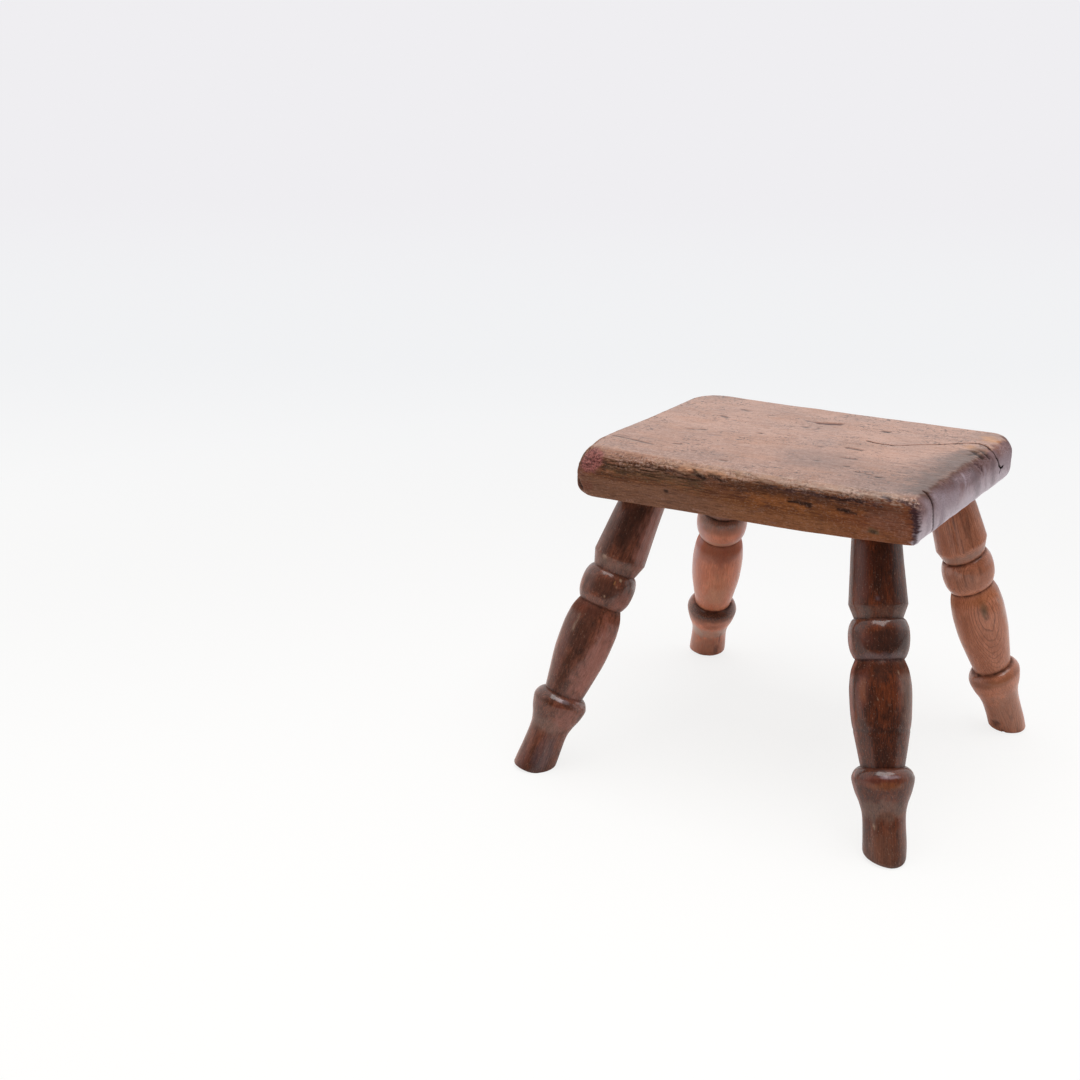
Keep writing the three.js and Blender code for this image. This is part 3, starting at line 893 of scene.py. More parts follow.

# Stains, scars and worn places on the top, the right end and the front edge, with painted highlights, sheen
# and shade among them
STROKES: tuple[Stroke, ...] = (
    top_stroke(Paint.PURPLE, ((-14.0, 71.5), (-6.0, 72.5), (3.5, 76.5)), 4.0, 1.0, 0.3, 1.2),
    top_stroke(Paint.PURPLE, ((-24.0, 71.0), (-14.0, 71.5)), 1.6, 0.5, 0.8, 0.2),
    top_stroke(Paint.SOOT, ((40.2, -0.3), (46.0, -1.5), (52.1, -1.8)), 2.4, 0.8, 0.6, 0.6),
    top_stroke(Paint.SOOT, ((48.3, -32.9), (58.8, -31.5)), 2.1, 0.6, 0.7, 0.4),
    top_stroke(Paint.SOOT, ((73.5, -68.6), (80.0, -69.0), (86.1, -70.7)), 2.2, 0.8, 0.7, 0.5),
    top_stroke(Paint.SOOT, ((92.5, -73.8), (94.5, -73.8)), 2.8, 1.0, 0.3, 0.7),
    top_stroke(Paint.SOOT, ((44.5, 72.4), (47.8, 72.4)), 3.2, 1.0, 0.3, 0.8),
    top_stroke(Paint.SOOT, ((-18.5, 50.2), (-16.5, 50.2)), 2.8, 0.9, 0.4, 0.6),
    top_stroke(Paint.UMBER, ((-7.0, 54.0), (-5.5, 49.9), (-8.0, 46.0)), 1.6, 0.7, 0.4, 0.4),
    top_stroke(Paint.SOOT, ((20.5, -9.0), (22.5, -9.0)), 2.2, 0.8, 0.4, 0.4),
    top_stroke(Paint.SOOT, ((59.7, -56.7), (61.7, -56.7)), 2.1, 0.8, 0.4, 0.4),
    top_stroke(Paint.SOOT, ((34.4, -52.7), (36.4, -52.7)), 2.4, 0.8, 0.4, 0.4),
    top_stroke(Paint.UMBER, ((-137.0, -64.0), (-125.5, -66.0)), 1.2, 0.8, 0.3, 0.3),
    top_stroke(Paint.UMBER, ((-138.0, -69.0), (-115.0, -73.0), (-96.8, -77.0)), 1.9, 0.9, 0.3, 0.4),
    top_stroke(Paint.STRAW, ((-134.0, -73.0), (-115.0, -76.5)), 1.2, 0.5, 0.5),
    top_stroke(Paint.UMBER, ((-84.6, -63.8), (-78.0, -64.3)), 2.0, 0.8, 0.5, 0.4),
    top_stroke(Paint.PURPLE, ((-72.8, -22.8), (-63.7, -20.1)), 1.7, 0.55, 0.5, 0.2),
    top_stroke(Paint.UMBER, ((-98.0, -13.2), (-92.0, -11.0), (-85.5, -8.7)), 2.4, 0.8, 1.2, 0.4),
    top_stroke(Paint.UMBER, ((-28.0, -93.4), (-23.9, -92.8)), 2.1, 0.8, 0.4, 0.4),
    top_stroke(Paint.SOOT, ((4.4, -116.5), (6.4, -116.8)), 2.1, 0.9, 0.4, 0.5),
    top_stroke(Paint.UMBER, ((-41.0, 6.9), (-38.5, 6.9)), 2.4, 0.8, 0.4, 0.4),
    top_stroke(Paint.UMBER, ((-90.7, 81.2), (-84.0, 77.8)), 2.6, 0.8, 0.7, 0.4),
    top_stroke(Paint.UMBER, ((-95.5, 48.5), (-88.7, 44.9)), 2.6, 0.8, 0.7, 0.4),
    top_stroke(Paint.UMBER, ((40.0, -55.0), (80.0, -75.0), (105.0, -95.0)), 40.0, 0.22, 0.3),
    Stroke(Paint.UMBER, ((122.0, 104.0, 270.0), (134.0, 112.0, 268.0)), 15.0, 0.35, 0.6),
    top_stroke(Paint.ORANGE, ((124.7, 11.6), (127.5, 32.0)), 5.5, 0.8, 1.0),
    top_stroke(Paint.ORANGE, ((128.0, 50.0), (121.0, 62.0)), 5.5, 0.8, 1.0),
    top_stroke(Paint.ORANGE, ((131.0, 90.0), (124.0, 100.0)), 7.0, 0.85, 0.9),
    Stroke(
        Paint.RUST, ((132.0, -12.0, 270.0), (138.0, -22.0, 268.0), (143.7, -32.0, 255.0)), 7.5, 0.2, 0.5
    ),
    # painted lilac sheen on the upper rounding of the right end
    Stroke(Paint.LILAC_SHEEN, ((140.5, -36.0, 267.0), (142.0, -20.0, 264.5), (142.5, 0.0, 264.0)), 6.0, 0.5, 0.8),
    Stroke(Paint.CLAY, ((140.0, 76.0, 267.0), (143.5, 90.0, 261.0)), 9.0, 0.5, 0.7),
    Stroke(Paint.SLATE, ((143.6, 2.0, 262.0), (143.9, 12.0, 250.0)), 10.0, 0.4, 0.5),
    Stroke(Paint.SLATE, ((143.9, 50.0, 258.0), (143.9, 54.0, 248.0)), 8.0, 0.35, 0.5),
    # painted shade along the top of the right end's rounding
    Stroke(
        Paint.UMBER, ((133.0, -96.0, 269.8), (128.0, -60.0, 270.0), (129.0, 40.0, 270.0)), 15.0, 0.8, 0.5
    ),
    Stroke(Paint.BARK, ((127.0, 26.0, 270.0), (131.0, 62.0, 269.8)), 7.0, 0.5, 0.8),
    top_stroke(Paint.BARK, ((118.0, -60.0), (113.0, -20.0), (122.0, 22.0)), 16.0, 0.45, 0.8),
    # painted lilac sheen and highlights on the right end
    Stroke(
        Paint.LILAC_SHEEN, ((142.6, -84.0, 262.0), (143.5, -62.0, 257.0), (143.8, -40.0, 254.0)), 10.0, 0.75, 0.4
    ),
    Stroke(Paint.LILAC_SHEEN, ((143.6, -74.0, 250.0), (143.2, -70.0, 240.0)), 10.0, 0.7, 0.4),
    Stroke(Paint.LILAC_SHEEN, ((142.8, -104.0, 262.0), (143.3, -102.0, 250.0)), 8.0, 0.5, 0.4),
    Stroke(
        Paint.LILAC_SHEEN, ((143.2, 84.0, 260.0), (144.1, 96.0, 256.0), (143.9, 110.0, 250.0)), 11.0, 0.5, 0.6
    ),
    Stroke(
        Paint.LILAC_SHEEN, ((143.2, -71.5, 259.5), (143.7, -73.5, 254.0), (143.2, -76.0, 240.0)), 6.0, 0.8, 0.3
    ),
    Stroke(Paint.LILAC_SHEEN, ((143.5, -88.0, 252.0), (143.3, -87.0, 240.0)), 5.0, 0.5, 0.3),
    Stroke(Paint.LILAC_SHEEN, ((144.0, 64.0, 256.0), (144.1, 100.0, 254.0)), 9.0, 0.45, 0.6),
    Stroke(Paint.PURPLE, ((141.0, -80.0, 266.5), (142.5, -40.0, 265.0)), 5.0, 0.2, 0.9),
    Stroke(Paint.LILAC_SHEEN, ((143.2, -105.0, 254.0), (143.3, -104.0, 242.0)), 6.0, 0.45, 0.3),
    Stroke(Paint.LILAC_SHEEN, ((140.3, -18.1, 266.5), (143.3, -21.0, 256.0)), 2.8, 0.7, 0.3),
    Stroke(Paint.LILAC_SHEEN, ((143.8, 28.8, 261.0), (143.9, 36.0, 246.0)), 3.2, 0.6, 0.4),
    Stroke(Paint.LILAC_SHEEN, ((143.7, -48.0, 258.0), (143.8, -50.0, 243.0)), 3.5, 0.25, 0.4),
    Stroke(
        Paint.SOOT, ((130.1, 44.7, 270.0), (134.0, 41.0, 269.6), (138.3, 36.7, 268.2)), 3.6, 1.0, 0.5, 1.7
    ),
    Stroke(
        Paint.SOOT, ((131.7, 53.8, 270.0), (136.0, 51.0, 269.0), (139.6, 48.7, 267.4)), 3.7, 1.0, 0.5, 1.8
    ),
    Stroke(Paint.SOOT, ((129.5, 33.0, 270.0), (133.0, 38.0, 269.8)), 2.4, 0.8, 0.5, 0.6),
    Stroke(Paint.PURPLE, ((139.0, 16.0, 267.5), (143.0, 22.0, 262.0)), 2.4, 0.7, 0.8, 0.4),
    Stroke(
        Paint.CLAY,
        ((-120.0, -116.0, 269.4), (-85.0, -117.0, 269.0), (-50.0, -119.0, 269.2)),
        7.0, 0.25, 1.6, 0.2,
    ),
    Stroke(
        Paint.BARK,
        ((-118.0, -121.0, 261.0), (-90.0, -121.5, 262.0), (-50.0, -121.0, 264.5)),
        4.0, 0.5, 1.8, 0.3,
    ),
    Stroke(
        Paint.OLIVE,
        ((-112.0, -122.6, 258.0), (-80.0, -122.4, 258.0), (-35.0, -122.0, 257.0)),
        6.0, 0.5, 1.5,
    ),
    Stroke(
        Paint.UMBER,
        ((-108.0, -122.6, 261.0), (-95.0, -122.5, 259.0), (-80.0, -122.4, 259.5)),
        2.4, 0.5, 1.7, 0.4,
    ),
    Stroke(
        Paint.UMBER,
        ((-80.0, -122.4, 264.5), (-60.0, -122.2, 263.0), (-42.0, -122.0, 260.0)),
        2.2, 0.55, 1.6, 0.5,
    ),
    Stroke(Paint.SOOT, ((-117.0, -122.7, 261.0), (-115.5, -122.7, 256.0)), 3.2, 0.5, 1.2, 0.3),
    Stroke(
        Paint.SALMON,
        ((-50.0, -120.7, 268.4), (-31.0, -120.5, 268.0), (-12.0, -121.0, 267.0)),
        3.4, 0.95, 0.5, -0.4,
    ),
    Stroke(
        Paint.SALMON,
        ((-15.0, -121.0, 267.6), (-4.0, -121.6, 266.4), (8.0, -121.0, 267.2)),
        1.9, 0.6, 1.0, -0.2,
    ),
    Stroke(
        Paint.SOOT,
        ((-38.0, -121.7, 266.5), (-33.0, -122.0, 262.5), (-29.0, -122.0, 262.0)),
        2.2, 0.85, 0.8, 1.4,
    ),
    Stroke(Paint.SOOT, ((-24.0, -121.9, 264.8), (-16.0, -121.9, 264.0)), 2.0, 0.8, 0.8, 1.2),
    Stroke(
        Paint.UMBER,
        ((-12.0, -122.0, 261.0), (6.0, -121.8, 260.5), (24.0, -121.5, 260.5)),
        3.0, 0.4, 1.6, 0.5,
    ),
    Stroke(
        Paint.PURPLE,
        ((6.0, -120.5, 268.2), (14.0, -121.0, 267.3), (27.0, -121.4, 265.5)),
        2.6, 0.25, 1.5, 0.3,
    ),
    Stroke(
        Paint.SALMON,
        ((-140.0, -104.0, 269.5), (-110.0, -110.0, 270.0), (-60.0, -113.0, 270.0)),
        9.0, 0.4, 1.5,
    ),
    # painted highlight along the front arris, in two straw strokes
    Stroke(
        Paint.STRAW, ((-70.0, -116.0, 269.6), (-30.0, -117.0, 269.6), (0.0, -117.0, 269.6)), 5.0, 0.35, 1.2
    ),
    Stroke(
        Paint.STRAW, ((0.0, -117.5, 269.4), (60.0, -117.5, 269.4), (125.0, -117.0, 269.4)), 6.0, 0.4, 1.0
    ),
    Stroke(
        Paint.UMBER, ((2.0, -121.7, 257.5), (30.0, -121.4, 257.0), (62.0, -121.1, 257.5)), 5.0, 0.6, 1.5
    ),
    Stroke(
        Paint.UMBER, ((60.0, -121.0, 257.5), (95.0, -120.9, 257.0), (125.0, -120.8, 257.0)), 5.0, 0.45, 1.5
    ),
    Stroke(
        Paint.EMBER, ((14.0, -121.4, 252.5), (35.0, -121.4, 255.0), (52.0, -121.3, 252.5)), 5.5, 0.6, 1.5
    ),
    Stroke(
        Paint.EMBER, ((60.0, -121.2, 256.0), (80.0, -121.0, 252.0), (100.0, -120.9, 255.0)), 4.0, 0.4, 1.6
    ),
    Stroke(
        Paint.SOOT,
        ((43.0, -121.3, 254.3), (50.0, -121.3, 255.0), (59.0, -121.2, 254.0)),
        1.9, 0.9, 1.0, 0.9,
    ),
    Stroke(Paint.SOOT, ((81.0, -121.0, 254.8), (89.0, -121.0, 254.6)), 1.2, 0.9, 1.0, 0.7),
    Stroke(Paint.SOOT, ((87.0, -120.9, 252.9), (95.0, -120.9, 252.7)), 1.1, 0.8, 1.0, 0.6),
    Stroke(
        Paint.UMBER,
        ((20.0, -121.4, 261.0), (60.0, -121.1, 261.5), (100.0, -120.8, 261.0)),
        3.2, 0.5, 1.6, 0.3,
    ),
    Stroke(
        Paint.CLAY, ((110.0, -120.7, 250.0), (123.0, -120.6, 253.0), (131.0, -120.6, 246.0)), 9.0, 0.65, 0.6
    ),
    Stroke(
        Paint.PURPLE,
        ((136.0, -119.3, 266.5), (138.5, -120.0, 259.0), (140.0, -119.5, 248.0)),
        3.6, 0.95, 0.8, 0.4,
    ),
    Stroke(Paint.PURPLE, ((140.0, -119.5, 248.0), (139.0, -119.3, 238.5)), 2.8, 0.8, 0.8, 0.3),
    Stroke(Paint.OLIVE, ((107.0, -120.8, 242.6), (111.0, -120.8, 242.0)), 2.6, 0.9, 0.4, 0.3),
    Stroke(Paint.SOOT, ((108.0, -120.8, 242.0), (110.0, -120.8, 241.6)), 1.4, 0.6, 0.6, 0.2),
    Stroke(Paint.SOOT, ((-61.0, -122.2, 246.6), (-59.0, -122.2, 246.2)), 1.7, 0.9, 0.3, 0.4),
    # painted highlight along the right part of the front arris
    Stroke(
        Paint.BONE, ((35.0, -119.0, 269.6), (75.0, -118.5, 269.6), (126.0, -118.0, 269.6)), 3.5, 0.4, 2.0
    ),
    Stroke(
        Paint.SOOT,
        ((72.0, -120.9, 262.6), (86.0, -120.7, 262.2), (98.0, -120.5, 262.6)),
        1.7, 0.7, 1.3, 0.6,
    ),
    Stroke(Paint.PURPLE, ((113.0, -117.5, 269.6), (119.0, -119.7, 267.6)), 1.9, 0.9, 0.8, 0.7),
    Stroke(
        Paint.PURPLE,
        ((124.5, -119.0, 269.0), (131.0, -119.4, 267.8), (134.0, -119.0, 268.0)),
        2.0, 0.9, 0.8, 0.7,
    ),
    Stroke(Paint.RUST, ((-131.0, -122.5, 240.0), (-140.0, -118.0, 238.0)), 5.0, 0.5, 0.6),
    Stroke(Paint.RUST, ((-138.0, -120.0, 250.0), (-143.0, -112.0, 248.0)), 7.0, 0.55, 0.9),
    Stroke(Paint.SOOT, ((-141.8, -118.6, 240.5), (-139.0, -120.4, 237.0)), 3.4, 0.9, 0.4, 2.0),
    Stroke(
        Paint.PURPLE,
        ((28.0, -120.8, 262.8), (60.0, -120.6, 263.0), (112.0, -120.2, 263.2)),
        1.8, 0.55, 2.0, 0.3,
    ),
)


@dataclass(frozen=True)
class Socket:
    """A tapered blind hole in the seat, in the axes of its leg."""

    axes: Matrix
    depth: float
    bottom_radius: float
    mouth_below: float
    mouth_radius: float


@dataclass
class PlankSeat:
    """The thick plank: a little out of square, thicker at its left end, worn round on every edge."""

    height: float = SEAT_HEIGHT
    thickness_left: float = 41.0
    thickness_right: float = 35.0
    front_left: Corner = Corner(-147.5, -123.0, 17.0)
    front_right: Corner = Corner(143.5, -120.5, 7.0)
    back_right: Corner = Corner(144.5, 125.5, 26.0)
    back_left: Corner = Corner(-154.6, 129.0, 28.0)
    top_front: float = 9.0
    top_right: float = 12.0
    top_back: float = 6.0
    top_left: float = 7.5
    bottom_front: float = 4.0
    bottom_right: float = 11.0
    bottom_back: float = 4.0
    bottom_left: float = 10.0
    length: float = 295.0
    breadth: float = 249.0
    top_front_left: float = 15.0
    worn_top_radius: float = 23.0
    worn_top_reach: float = 30.0
    worn_bottom_radius: float = 11.0
    worn_bottom_reach: float = 26.0
    lift: float = 1.2
    lift_place: Point = (-135.0, 105.0)
    lift_reach: float = 60.0
    sag: float = 1.5
    sag_place: Point = (45.0, -122.0)
    sag_reach: Point = (60.0, 14.0)
    red_place: Place = (-131.0, -119.0, 261.0)
    red_reach: Place = (13.0, 14.0, 12.0)
    mesh_step: float = 6.0
    finer: int = 3
    crack_reach: float = 3.0
    finish: SeatFinish = field(default_factory=SeatFinish)
    cracks: tuple[Crack, ...] = CRACKS
    strokes: tuple[Stroke, ...] = STROKES
    left_x: float = field(init=False)
    right_x: float = field(init=False)

    def __post_init__(self) -> None:
        """Keep where the plank's two ends lie, for its thickness."""
        self.left_x = self.back_left.x
        self.right_x = self.back_right.x

    def thickness(self, x: float) -> float:
        """Thickness of the plank at a place along its length."""
        part = (x - self.left_x) / (self.right_x - self.left_x)
        return mix(self.thickness_left, self.thickness_right, part)

    def underside(self, x: float) -> float:
        """Height of the plank's underside at a place along its length."""
        return self.height - self.thickness(x)

    def build(self, sockets: Sequence[Socket]) -> bpy.types.Object:
        """Build, wear and bore the plank.

        Args:
            sockets: the tapered holes for the legs.

        Returns:
            The finished seat.
        """
        shape = self._divided_block()
        for vert in shape.verts:
            vert.co = self._rounded(*vert.co)
        self._refine_front(shape)
        self._refine_near_cracks(shape)
        relief = Relief(shape)
        self._paint_faces(relief)
        self._wear(relief)
        relief.apply()
        piece = new_piece(shape, "seat_plank")
        cut_out(piece, self._socket_cutter(sockets))
        finish_piece(piece, "seat", self.finish.material())
        return piece

    def _divided_block(self) -> bmesh.types.BMesh:
        """A block one unit each way, cut into a fine mesh on its top and sides.

        Returns:
            The block, with its mesh finest where it shows.
        """
        shape = bmesh.new()
        bmesh.ops.create_cube(shape, size=1.0)
        bmesh.ops.translate(shape, vec=(0.5, 0.5, 0.5), verts=shape.verts)
        for axis, size in enumerate((self.length, self.breadth, self.thickness_left)):
            along = [e for e in shape.edges if abs((e.verts[0].co - e.verts[1].co)[axis]) > 1e-6]
            cuts = round(size / self.mesh_step) - 1
            bmesh.ops.subdivide_edges(shape, edges=along, cuts=cuts, use_grid_fill=True)
        shape.normal_update()
        shown = {edge for face in shape.faces if face.normal.z > -0.5 for edge in face.edges}
        bmesh.ops.subdivide_edges(shape, edges=list(shown), cuts=self.finer, use_grid_fill=True)
        return shape

    def _rounded(self, along: float, across: float, up: float) -> Vector:
        """Where a point of the unit block lies on the worn plank.

        Args:
            along: from 0 at the left end to 1 at the right.
            across: from 0 at the front to 1 at the back.
            up: from 0 at the underside to 1 at the top.

        Returns:
            The point in the stool's frame.
        """
        on_left, on_front, on_top = along < 0.5, across < 0.5, up > 0.5
        a = (along if on_left else 1.0 - along) * self.length
        b = (across if on_front else 1.0 - across) * self.breadth
        thickness = self.thickness(mix(self.left_x, self.right_x, along))
        h = (1.0 - up if on_top else up) * thickness
        corner = {
            (True, True): self.front_left,
            (False, True): self.front_right,
            (False, False): self.back_right,
            (True, False): self.back_left,
        }[on_left, on_front]
        side_radius, end_radius, worn_radius, worn_reach = self._radii(along, on_left, on_front, on_top)
        radius = mix(side_radius, end_radius, smooth(-14.0, 14.0, b - a))
        if corner is self.front_left:
            radius = mix(radius, worn_radius, bell(math.hypot(a, b) / worn_reach))
        a, b, h = self._round_edge(a, b, h, radius)
        a, b = self._round_corner(a, b, corner.radius)
        along = a / self.length if on_left else 1.0 - a / self.length
        across = b / self.breadth if on_front else 1.0 - b / self.breadth
        front = mix(self.front_left.place(), self.front_right.place(), along)
        back = mix(self.back_left.place(), self.back_right.place(), along)
        x, y = mix(front, back, across)
        bottom = self.underside(x)
        if h < radius:
            z = self.height - h if on_top else bottom + h
        else:
            z = mix(bottom, self.height, up)
        z += self.lift * bell(math.dist((x, y), self.lift_place) / self.lift_reach)
        sagging = bell((x - self.sag_place[0]) / self.sag_reach[0])
        sagging *= bell((y - self.sag_place[1]) / self.sag_reach[1])
        z -= self.sag * sagging * (1.0 - smooth(233.0, 262.0, z))
        return Vector((x, y, z))

    def _radii(self, along: float, on_left: bool, on_front: bool, on_top: bool) -> tuple[float, ...]:
        """Radii that wear has left on the edges nearest a point.

        Args:
            along: from 0 at the plank's left end to 1 at its right.
            on_left: whether the left end is the nearer one.
            on_front: whether the front is the nearer side.
            on_top: whether the top is the nearer face.

        Returns:
            The side's radius, the end's, the front left corner's, and how far this last one reaches.
        """
        if not on_top:
            side_radius = self.bottom_front if on_front else self.bottom_back
            end_radius = self.bottom_left if on_left else self.bottom_right
            return side_radius, end_radius, self.worn_bottom_radius, self.worn_bottom_reach
        front_radius = mix(self.top_front_left, self.top_front, smooth(0.1, 0.55, along))
        side_radius = front_radius if on_front else self.top_back
        end_radius = self.top_left if on_left else self.top_right
        return side_radius, end_radius, self.worn_top_radius, self.worn_top_reach

    @staticmethod
    def _round_edge(a: float, b: float, h: float, radius: float) -> Place:
        """Round the edge between a flat face and the sides.

        Args:
            a: distance in from the end of the plank.
            b: distance in from the side of the plank.
            h: distance from the top or the underside.
            radius: radius of the rounding.

        Returns:
            The three distances after rounding.
        """
        in_a, in_b, in_h = max(0.0, radius - a), max(0.0, radius - b), max(0.0, radius - h)
        outward = max(in_a, in_b)
        if in_h <= 0.0 or outward <= 0.0:
            return a, b, h
        pull = radius / math.hypot(outward, in_h)
        a = radius - pull * in_a if in_a > 0.0 else a
        b = radius - pull * in_b if in_b > 0.0 else b
        return a, b, radius - pull * in_h

    @staticmethod
    def _round_corner(a: float, b: float, radius: float) -> tuple[float, float]:
        """Bend the square corner of the plan into a quarter circle.

        Args:
            a: distance in from the end of the plank.
            b: distance in from the side of the plank.
            radius: the corner's radius.

        Returns:
            Both distances after bending.
        """
        in_a, in_b = radius - a, radius - b
        if in_a <= 0.0 or in_b <= 0.0:
            return a, b
        reach = max(in_a, in_b)
        angle = 0.25 * math.pi * (in_b / in_a if in_a >= in_b else 2.0 - in_a / in_b)
        return radius - reach * math.cos(angle), radius - reach * math.sin(angle)

    @staticmethod
    def _refine_front(shape: bmesh.types.BMesh) -> None:
        """Divide the front edge of the plank more finely, for its torn grain.

        Args:
            shape: the plank.
        """
        shape.normal_update()
        edges = {edge for face in shape.faces if face.normal.y < -0.35 for edge in face.edges}
        bmesh.ops.subdivide_edges(shape, edges=list(edges), cuts=1, use_grid_fill=True)

    def _refine_near_cracks(self, shape: bmesh.types.BMesh) -> None:
        """Divide the mesh more finely where a crack runs, twice.

        Args:
            shape: the plank.
        """
        for reach in (self.crack_reach, 0.5 * self.crack_reach):
            middles = Relief(shape)
            middles.places = np.array([face.calc_center_median() for face in shape.faces])
            near = np.full(len(middles.places), np.inf)
            for crack in self.cracks:
                near = np.minimum(near, middles.near_path(crack.path, reach))
            chosen = [face for face, distance in zip(shape.faces, near) if distance < reach]
            edges = list({edge for face in chosen for edge in face.edges})
            bmesh.ops.subdivide_edges(shape, edges=edges, cuts=1, use_grid_fill=True)

    def _paint_faces(self, relief: Relief) -> None:
        """Paint which points take the colours of the long edges and which those of the right end.

        Args:
            relief: the plank's points.
        """
        facing = np.abs(relief.normals)
        uneven = grain_noise(relief.places, (14.0, 6.0, 3.0), 2, shift=6.0)
        end = smooth(0.10, 0.60, facing[:, 0] + 0.25 * uneven)
        right = smooth(-20.0, 20.0, relief.places[:, 0])
        others = np.maximum(smooth(-0.1, -0.5, relief.normals[:, 2]) * (1.0 - end), end * (1.0 - right))
        relief.paint("front", np.maximum(smooth(0.60, 0.92, facing[:, 1] + 0.3 * uneven), others))
        relief.paint("end", end * right)

    def _wear(self, relief: Relief) -> None:
        """Press in what use has done to the plank, and paint it.

        Args:
            relief: the plank's points.
        """
        self._make_uneven(relief)
        self._tear_front(relief)
        broken = grain_noise(relief.places, (5.0, 2.6, 1.1), 3, shift=4.0)
        for stroke in self.strokes:
            distance = relief.near_path(stroke.path, 4.0 * stroke.reach)
            amount = smooth(1.25, 0.2, distance / stroke.reach + stroke.broken * broken)
            relief.tint(stroke.paint.value, stroke.strength * amount)
            relief.push += stroke.cut * amount
        for crack in self.cracks:
            distance = relief.near_path(crack.path, crack.width)
            groove = np.clip(1.0 - 2.0 * distance / crack.width, 0.0, 1.0)
            relief.push += crack.depth * groove
            relief.paint("dirt", crack.dirt * smooth(0.0, 0.45, groove))
        red = relief.near(self.red_place, self.red_reach) + 0.12 * broken
        relief.paint("red", 0.9 * smooth(0.35, 0.6, red))

    @staticmethod
    def _make_uneven(relief: Relief) -> None:
        """Press waves and fibres into every face, and chips into the arrises.

        Args:
            relief: the plank's points.
        """
        places = relief.places
        upward = np.clip(relief.normals[:, 2], 0.0, 1.0)
        ends = smooth(0.3, 0.8, np.abs(relief.normals[:, 0]))
        arris = smooth(0.25, 0.55, upward) * smooth(0.25, 0.55, np.abs(relief.normals[:, 1]))
        relief.push += 0.35 * grain_noise(places, (70.0, 60.0, 40.0), 2)
        relief.push += 0.12 * grain_noise(places, (16.0, 9.0, 9.0), 2, shift=5.0)
        relief.push += 0.09 * grain_noise(places, (30.0, 3.4, 2.0), 2, shift=9.0)
        relief.push += 0.45 * ends * grain_noise(places, (90.0, 15.0, 90.0), 1, shift=3.0)
        chipped = 0.45 - 0.35 * smooth(-20.0, 60.0, places[:, 1])
        relief.push += chipped * arris * (0.5 + grain_noise(places, (7.0, 4.0, 3.0), 3, shift=8.0))

    @staticmethod
    def _tear_front(relief: Relief) -> None:
        """Tear the grain of the front edge, most of all at its left, and roughen the arris above it.

        Args:
            relief: the plank's points.
        """
        places = relief.places
        x, y, z = places.T
        front = smooth(0.2, 0.7, -relief.normals[:, 1])
        left_part = 1.0 - smooth(-50.0, 25.0, x)
        rim = mix(264.0, 268.8, smooth(-125.0, -40.0, x))
        torn = front * smooth(249.0, 256.0, z) * (1.0 - smooth(rim - 2.5, rim, z))
        torn = torn * (0.2 + 0.8 * left_part)
        strands = grain_noise(places, (15.0, 6.0, 1.6), 3, shift=2.0)
        relief.push += torn * (0.25 + 1.2 * np.clip(strands + 0.1, -0.2, 1.0))
        grit = grain_noise(places, (2.2, 1.6, 1.2), 2, shift=1.0)
        relief.tint(Paint.BARK.value, torn * smooth(0.0, 0.35, strands + 0.3 * grit) * 0.7)
        relief.tint(Paint.UMBER.value, torn * smooth(0.25, 0.55, strands + 0.3 * grit) * 0.7)
        relief.tint(Paint.CLAY.value, torn * smooth(-0.05, -0.4, strands + 0.5 * grit) * 0.5)
        relief.push += 0.16 * front * grain_noise(places, (50.0, 6.0, 2.2), 2, shift=7.0)

        crest = smooth(mix(260.0, 255.0, left_part), mix(267.0, 264.0, left_part), z)
        crest = crest * bell((y + 117.0) / mix(5.0, 9.0, left_part))
        patches = grain_noise(places, (16.0, 9.0, 9.0), 2, shift=11.0)
        relief.paint("rough", crest * smooth(-0.35, 0.25, patches))

    def _socket_cutter(self, sockets: Sequence[Socket]) -> bpy.types.Object:
        """The tapered holes for the legs, as one cutting shape.

        Args:
            sockets: the holes.

        Returns:
            The cutter.
        """
        shape = bmesh.new()
        for socket in sockets:
            length = socket.depth + socket.mouth_below
            made = bmesh.ops.create_cone(
                shape,
                cap_ends=True,
                segments=64,
                radius1=socket.mouth_radius,
                radius2=socket.bottom_radius,
                depth=length,
            )
            middle = Matrix.Translation((0.0, 0.0, socket.depth - 0.5 * length))
            bmesh.ops.transform(shape, matrix=socket.axes @ middle, verts=made["verts"])
        return new_piece(shape, "socket_cutter")


class Side(Enum):
    """Where a leg stands, and the CAD node that it is."""

    FRONT_LEFT = "leg_front_left"
    FRONT_RIGHT = "leg_front_right"
    BACK_LEFT = "leg_back_left"
    BACK_RIGHT = "leg_back_right"


@dataclass(frozen=True)
class Mark:
    """A knock, chip or patch of colour on a leg.

    It lies at a station and a bearing, and reaches so far along the leg and round it.
    """

    paint: Paint
    station: float
    bearing: float
    along: float
    around: float
    strength: float = 0.8
    cut: float = 0.0
    broken: float = 0.3


@dataclass(frozen=True)
class Spot:
    """A soft spot on a leg, worn flat to a depth or painted with a strength."""

    station: float
    bearing: float
    half_length: float
    half_angle: float
    amount: float

    def cover(self, station: np.ndarray, bearing: np.ndarray) -> np.ndarray:
        """The spot's amount at each point, falling off from its middle.

        Args:
            station: the points' stations.
            bearing: their bearings.

        Returns:
            One amount each.
        """
        turn = wrapped(bearing - self.bearing)
        near = bell((station - self.station) / self.half_length) * bell(turn / self.half_angle)
        return self.amount * near


